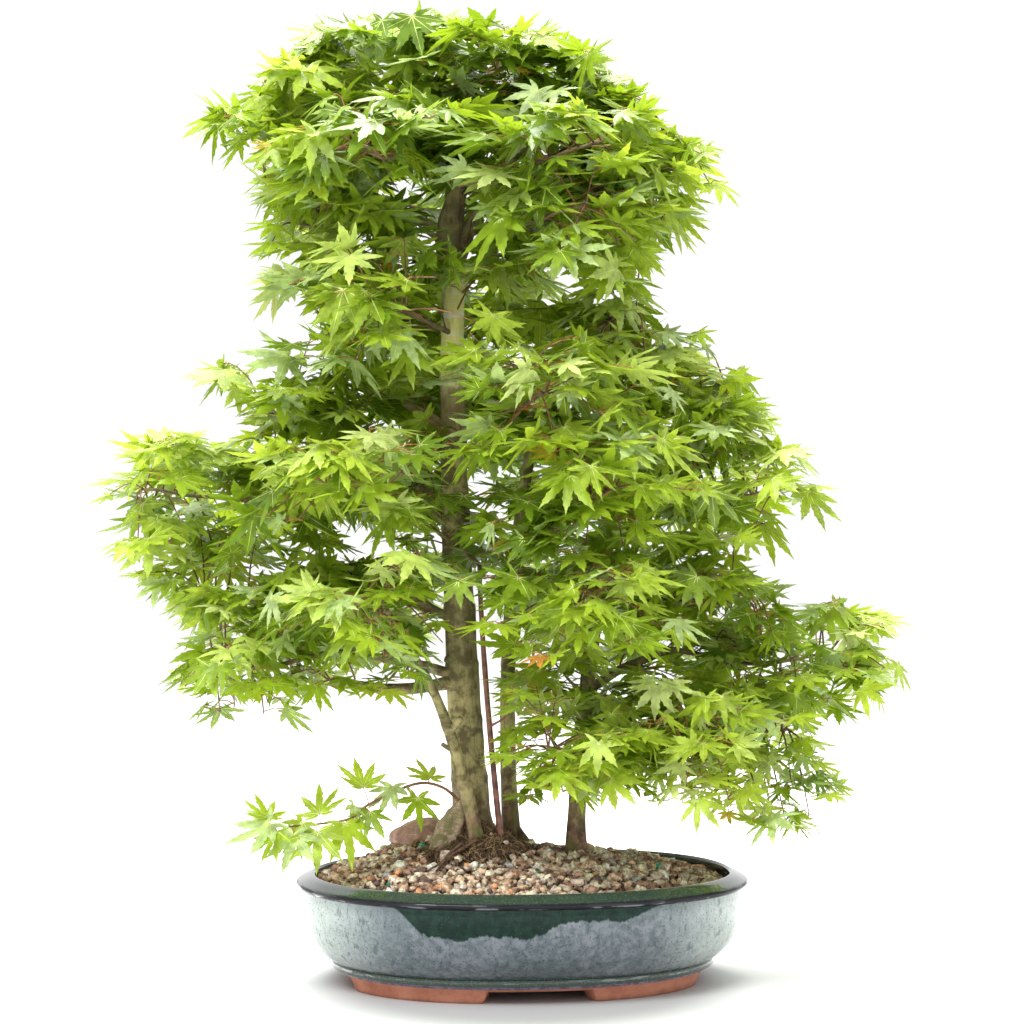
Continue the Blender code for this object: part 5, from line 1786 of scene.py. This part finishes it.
    def execute(self, context):
        settings = self.settings = context.scene.maple_crown
        stems = self.stems = lay_out_stems()
        pads = lay_out_pads()
        boughs = lay_out_boughs(pads, stems)
        chance = random.Random(settings.seed)
        shapes = [leaf_shape(chance) for _ in range(LEAF_SHAPES)]
        leaves = self.leaves = Leaves(shapes)
        twigs = Pile()
        stalks = self.stalks = Pile()
        group_of = {tier: group for group, tiers in LEAF_GROUPS.items() for tier in tiers}
        for k, pad in enumerate(pads.values()):
            line, radius = self.stalk_of(pad, stems, boughs)
            own = random.Random(settings.seed * 1000 + k)
            self.group = group_of[pad.tier_name]
            if pad.tier_name == "foot":
                self.grow_foot_spray(own, twigs)
                continue
            self.grow_pad(pad, line, radius, own, twigs)
            if pad.name in boughs:
                self.leaf_a_bough(pad, boughs[pad.name], own, twigs)
            for root, end in LIMB_SPRAYS.get(pad.name, ()):
                self.grow_twig(pad, Vector(root), Vector(end), 0.2, own, twigs, True)
            for stem, height, bearing, run, rise in STEM_SPRAYS.get(pad.name, ()):
                root = stems[stem].at(stems[stem].t_at_height(height))
                self.grow_twig(pad, root, root + heading(bearing, rise) * run, 0.1, own, twigs, True)
        finishes = [leaf_finish(*tone) for tone in LEAF_TONES]
        rib = tuple(settings.rib)
        finishes.append(leaf_finish("leaf_rib", rib, tuple(min(c * 1.3, 1) for c in rib)))
        for group in LEAF_GROUPS:
            nodes = ["leaves_" + pad.name for pad in pads.values() if group_of[pad.tier_name] == group]
            leaves.pile_of(group).piece(group, finishes, "foliage", nodes)
        twig_finishes = [
            twig_finish("twig_olive", (0.130, 0.085, 0.045), (0.270, 0.200, 0.105)),
            twig_finish("twig_russet", (0.130, 0.056, 0.030), (0.300, 0.145, 0.068)),
        ]
        twigs.piece("twigs", twig_finishes, "bark")
        stalk_finishes = [
            twig_finish("stalk_orange", (0.360, 0.120, 0.040), (0.520, 0.230, 0.080)),
            twig_finish("stalk_green", (0.200, 0.220, 0.060), (0.360, 0.340, 0.110)),
        ]
        stalks.piece("leaf_stalks", stalk_finishes, "foliage")
        return {"FINISHED"}


PAINTED_FLOOR_SHADOW = (0.50, 0.50, 0.50)  # the colour of the painted shadow on the floor under the pot


class MAPLE_OT_studio(Operator):
    """Sets the pale floor with a painted shadow under the pot, the soft lights and the camera"""

    bl_idname = "maple.studio"
    bl_label = "Studio"

    def lamp(self, name, place, aim, size, power, colour=(1, 1, 1)):
        light = bpy.data.lights.new(name, "AREA")
        light.shape = "RECTANGLE"
        light.size, light.size_y = size
        light.energy = power
        light.color = colour
        made = bpy.data.objects.new(name, light)
        bpy.context.scene.collection.objects.link(made)
        made.location = Vector(place) + MIDDLE
        made.rotation_euler = (Vector(aim) - Vector(place)).to_track_quat("-Z", "Y").to_euler()

    def execute(self, context):
        settings = context.scene.maple_studio
        scene = context.scene
        mesh = bpy.data.meshes.new("floor")
        mesh.from_pydata([(-9, -9, 0), (9, -9, 0), (9, 9, 0), (-9, 9, 0)], [], [(0, 1, 2, 3)])
        floor = bpy.data.objects.new("floor", mesh)
        scene.collection.objects.link(floor)
        paper = Finish("floor_paper", Roughness=0.9, Specular_IOR_Level=0.1)
        x, y, _ = paper.axes(paper.place())
        # Painted shadow: an oval of darker floor under the pot, a little towards the front, fading to the
        # floor's own colour away from it.
        x, y = x / 0.165, (y + 0.025) / 0.170
        away = (x * x + y * y) ** 0.5
        paper.set(Base_Color=paper.mix(away.between(0.80, 1.22), PAINTED_FLOOR_SHADOW, tuple(settings.floor)))
        mesh.materials.append(paper.material)
        world = bpy.data.worlds.new("studio")
        scene.world = world
        world.use_nodes = True
        sky = world.node_tree.nodes["Background"].inputs
        sky["Color"].default_value = (1, 1, 1, 1)
        sky["Strength"].default_value = 1.05
        self.lamp("key", (-0.2, 0.7, 2.5), (0, 0, 0.35), (1.3, 1.3), 120)
        self.lamp("front", (-0.8, -1.7, 2.1), (0, 0, 0.40), (1.2, 0.9), 60)
        camera = bpy.data.cameras.new("camera")
        camera.lens = settings.lens
        camera.sensor_width = 36
        camera.clip_end = 50
        made = bpy.data.objects.new("camera", camera)
        scene.collection.objects.link(made)
        made.location = Vector(settings.eye) + MIDDLE
        made.rotation_euler = (math.pi / 2, 0, 0)
        scene.camera = made
        scene.view_settings.view_transform = "Standard"
        return {"FINISHED"}


class MAPLE_PT_panel(Panel):
    """Lists the pieces and their settings"""

    bl_idname = "MAPLE_PT_panel"
    bl_label = "Maple group"
    bl_space_type = "VIEW_3D"
    bl_region_type = "UI"
    bl_category = "Maple"

    def draw(self, context):
        for operator in OPERATORS:
            self.layout.operator(operator.bl_idname)
        for name in SETTINGS:
            group = getattr(context.scene, name)
            box = self.layout.box()
            for setting in group.bl_rna.properties.keys():
                if setting not in ("rna_type", "name"):
                    box.prop(group, setting)


OPERATORS = (
    MAPLE_OT_studio, MAPLE_OT_pot, MAPLE_OT_feet, MAPLE_OT_soil, MAPLE_OT_cobble, MAPLE_OT_stems,
    MAPLE_OT_foliage)
CLASSES = (*SETTINGS.values(), *OPERATORS, MAPLE_PT_panel)


def register():
    for made in CLASSES:
        bpy.utils.register_class(made)
    for name, group in SETTINGS.items():
        setattr(bpy.types.Scene, name, PointerProperty(type=group))


def unregister():
    for name in SETTINGS:
        delattr(bpy.types.Scene, name)
    for made in reversed(CLASSES):
        bpy.utils.unregister_class(made)


def main():
    register()
    bpy.ops.maple.studio()
    bpy.ops.maple.pot()
    bpy.ops.maple.feet()
    bpy.ops.maple.soil()
    bpy.ops.maple.cobble()
    bpy.ops.maple.stems()
    bpy.ops.maple.foliage()


if __name__ == "__main__":
    main()
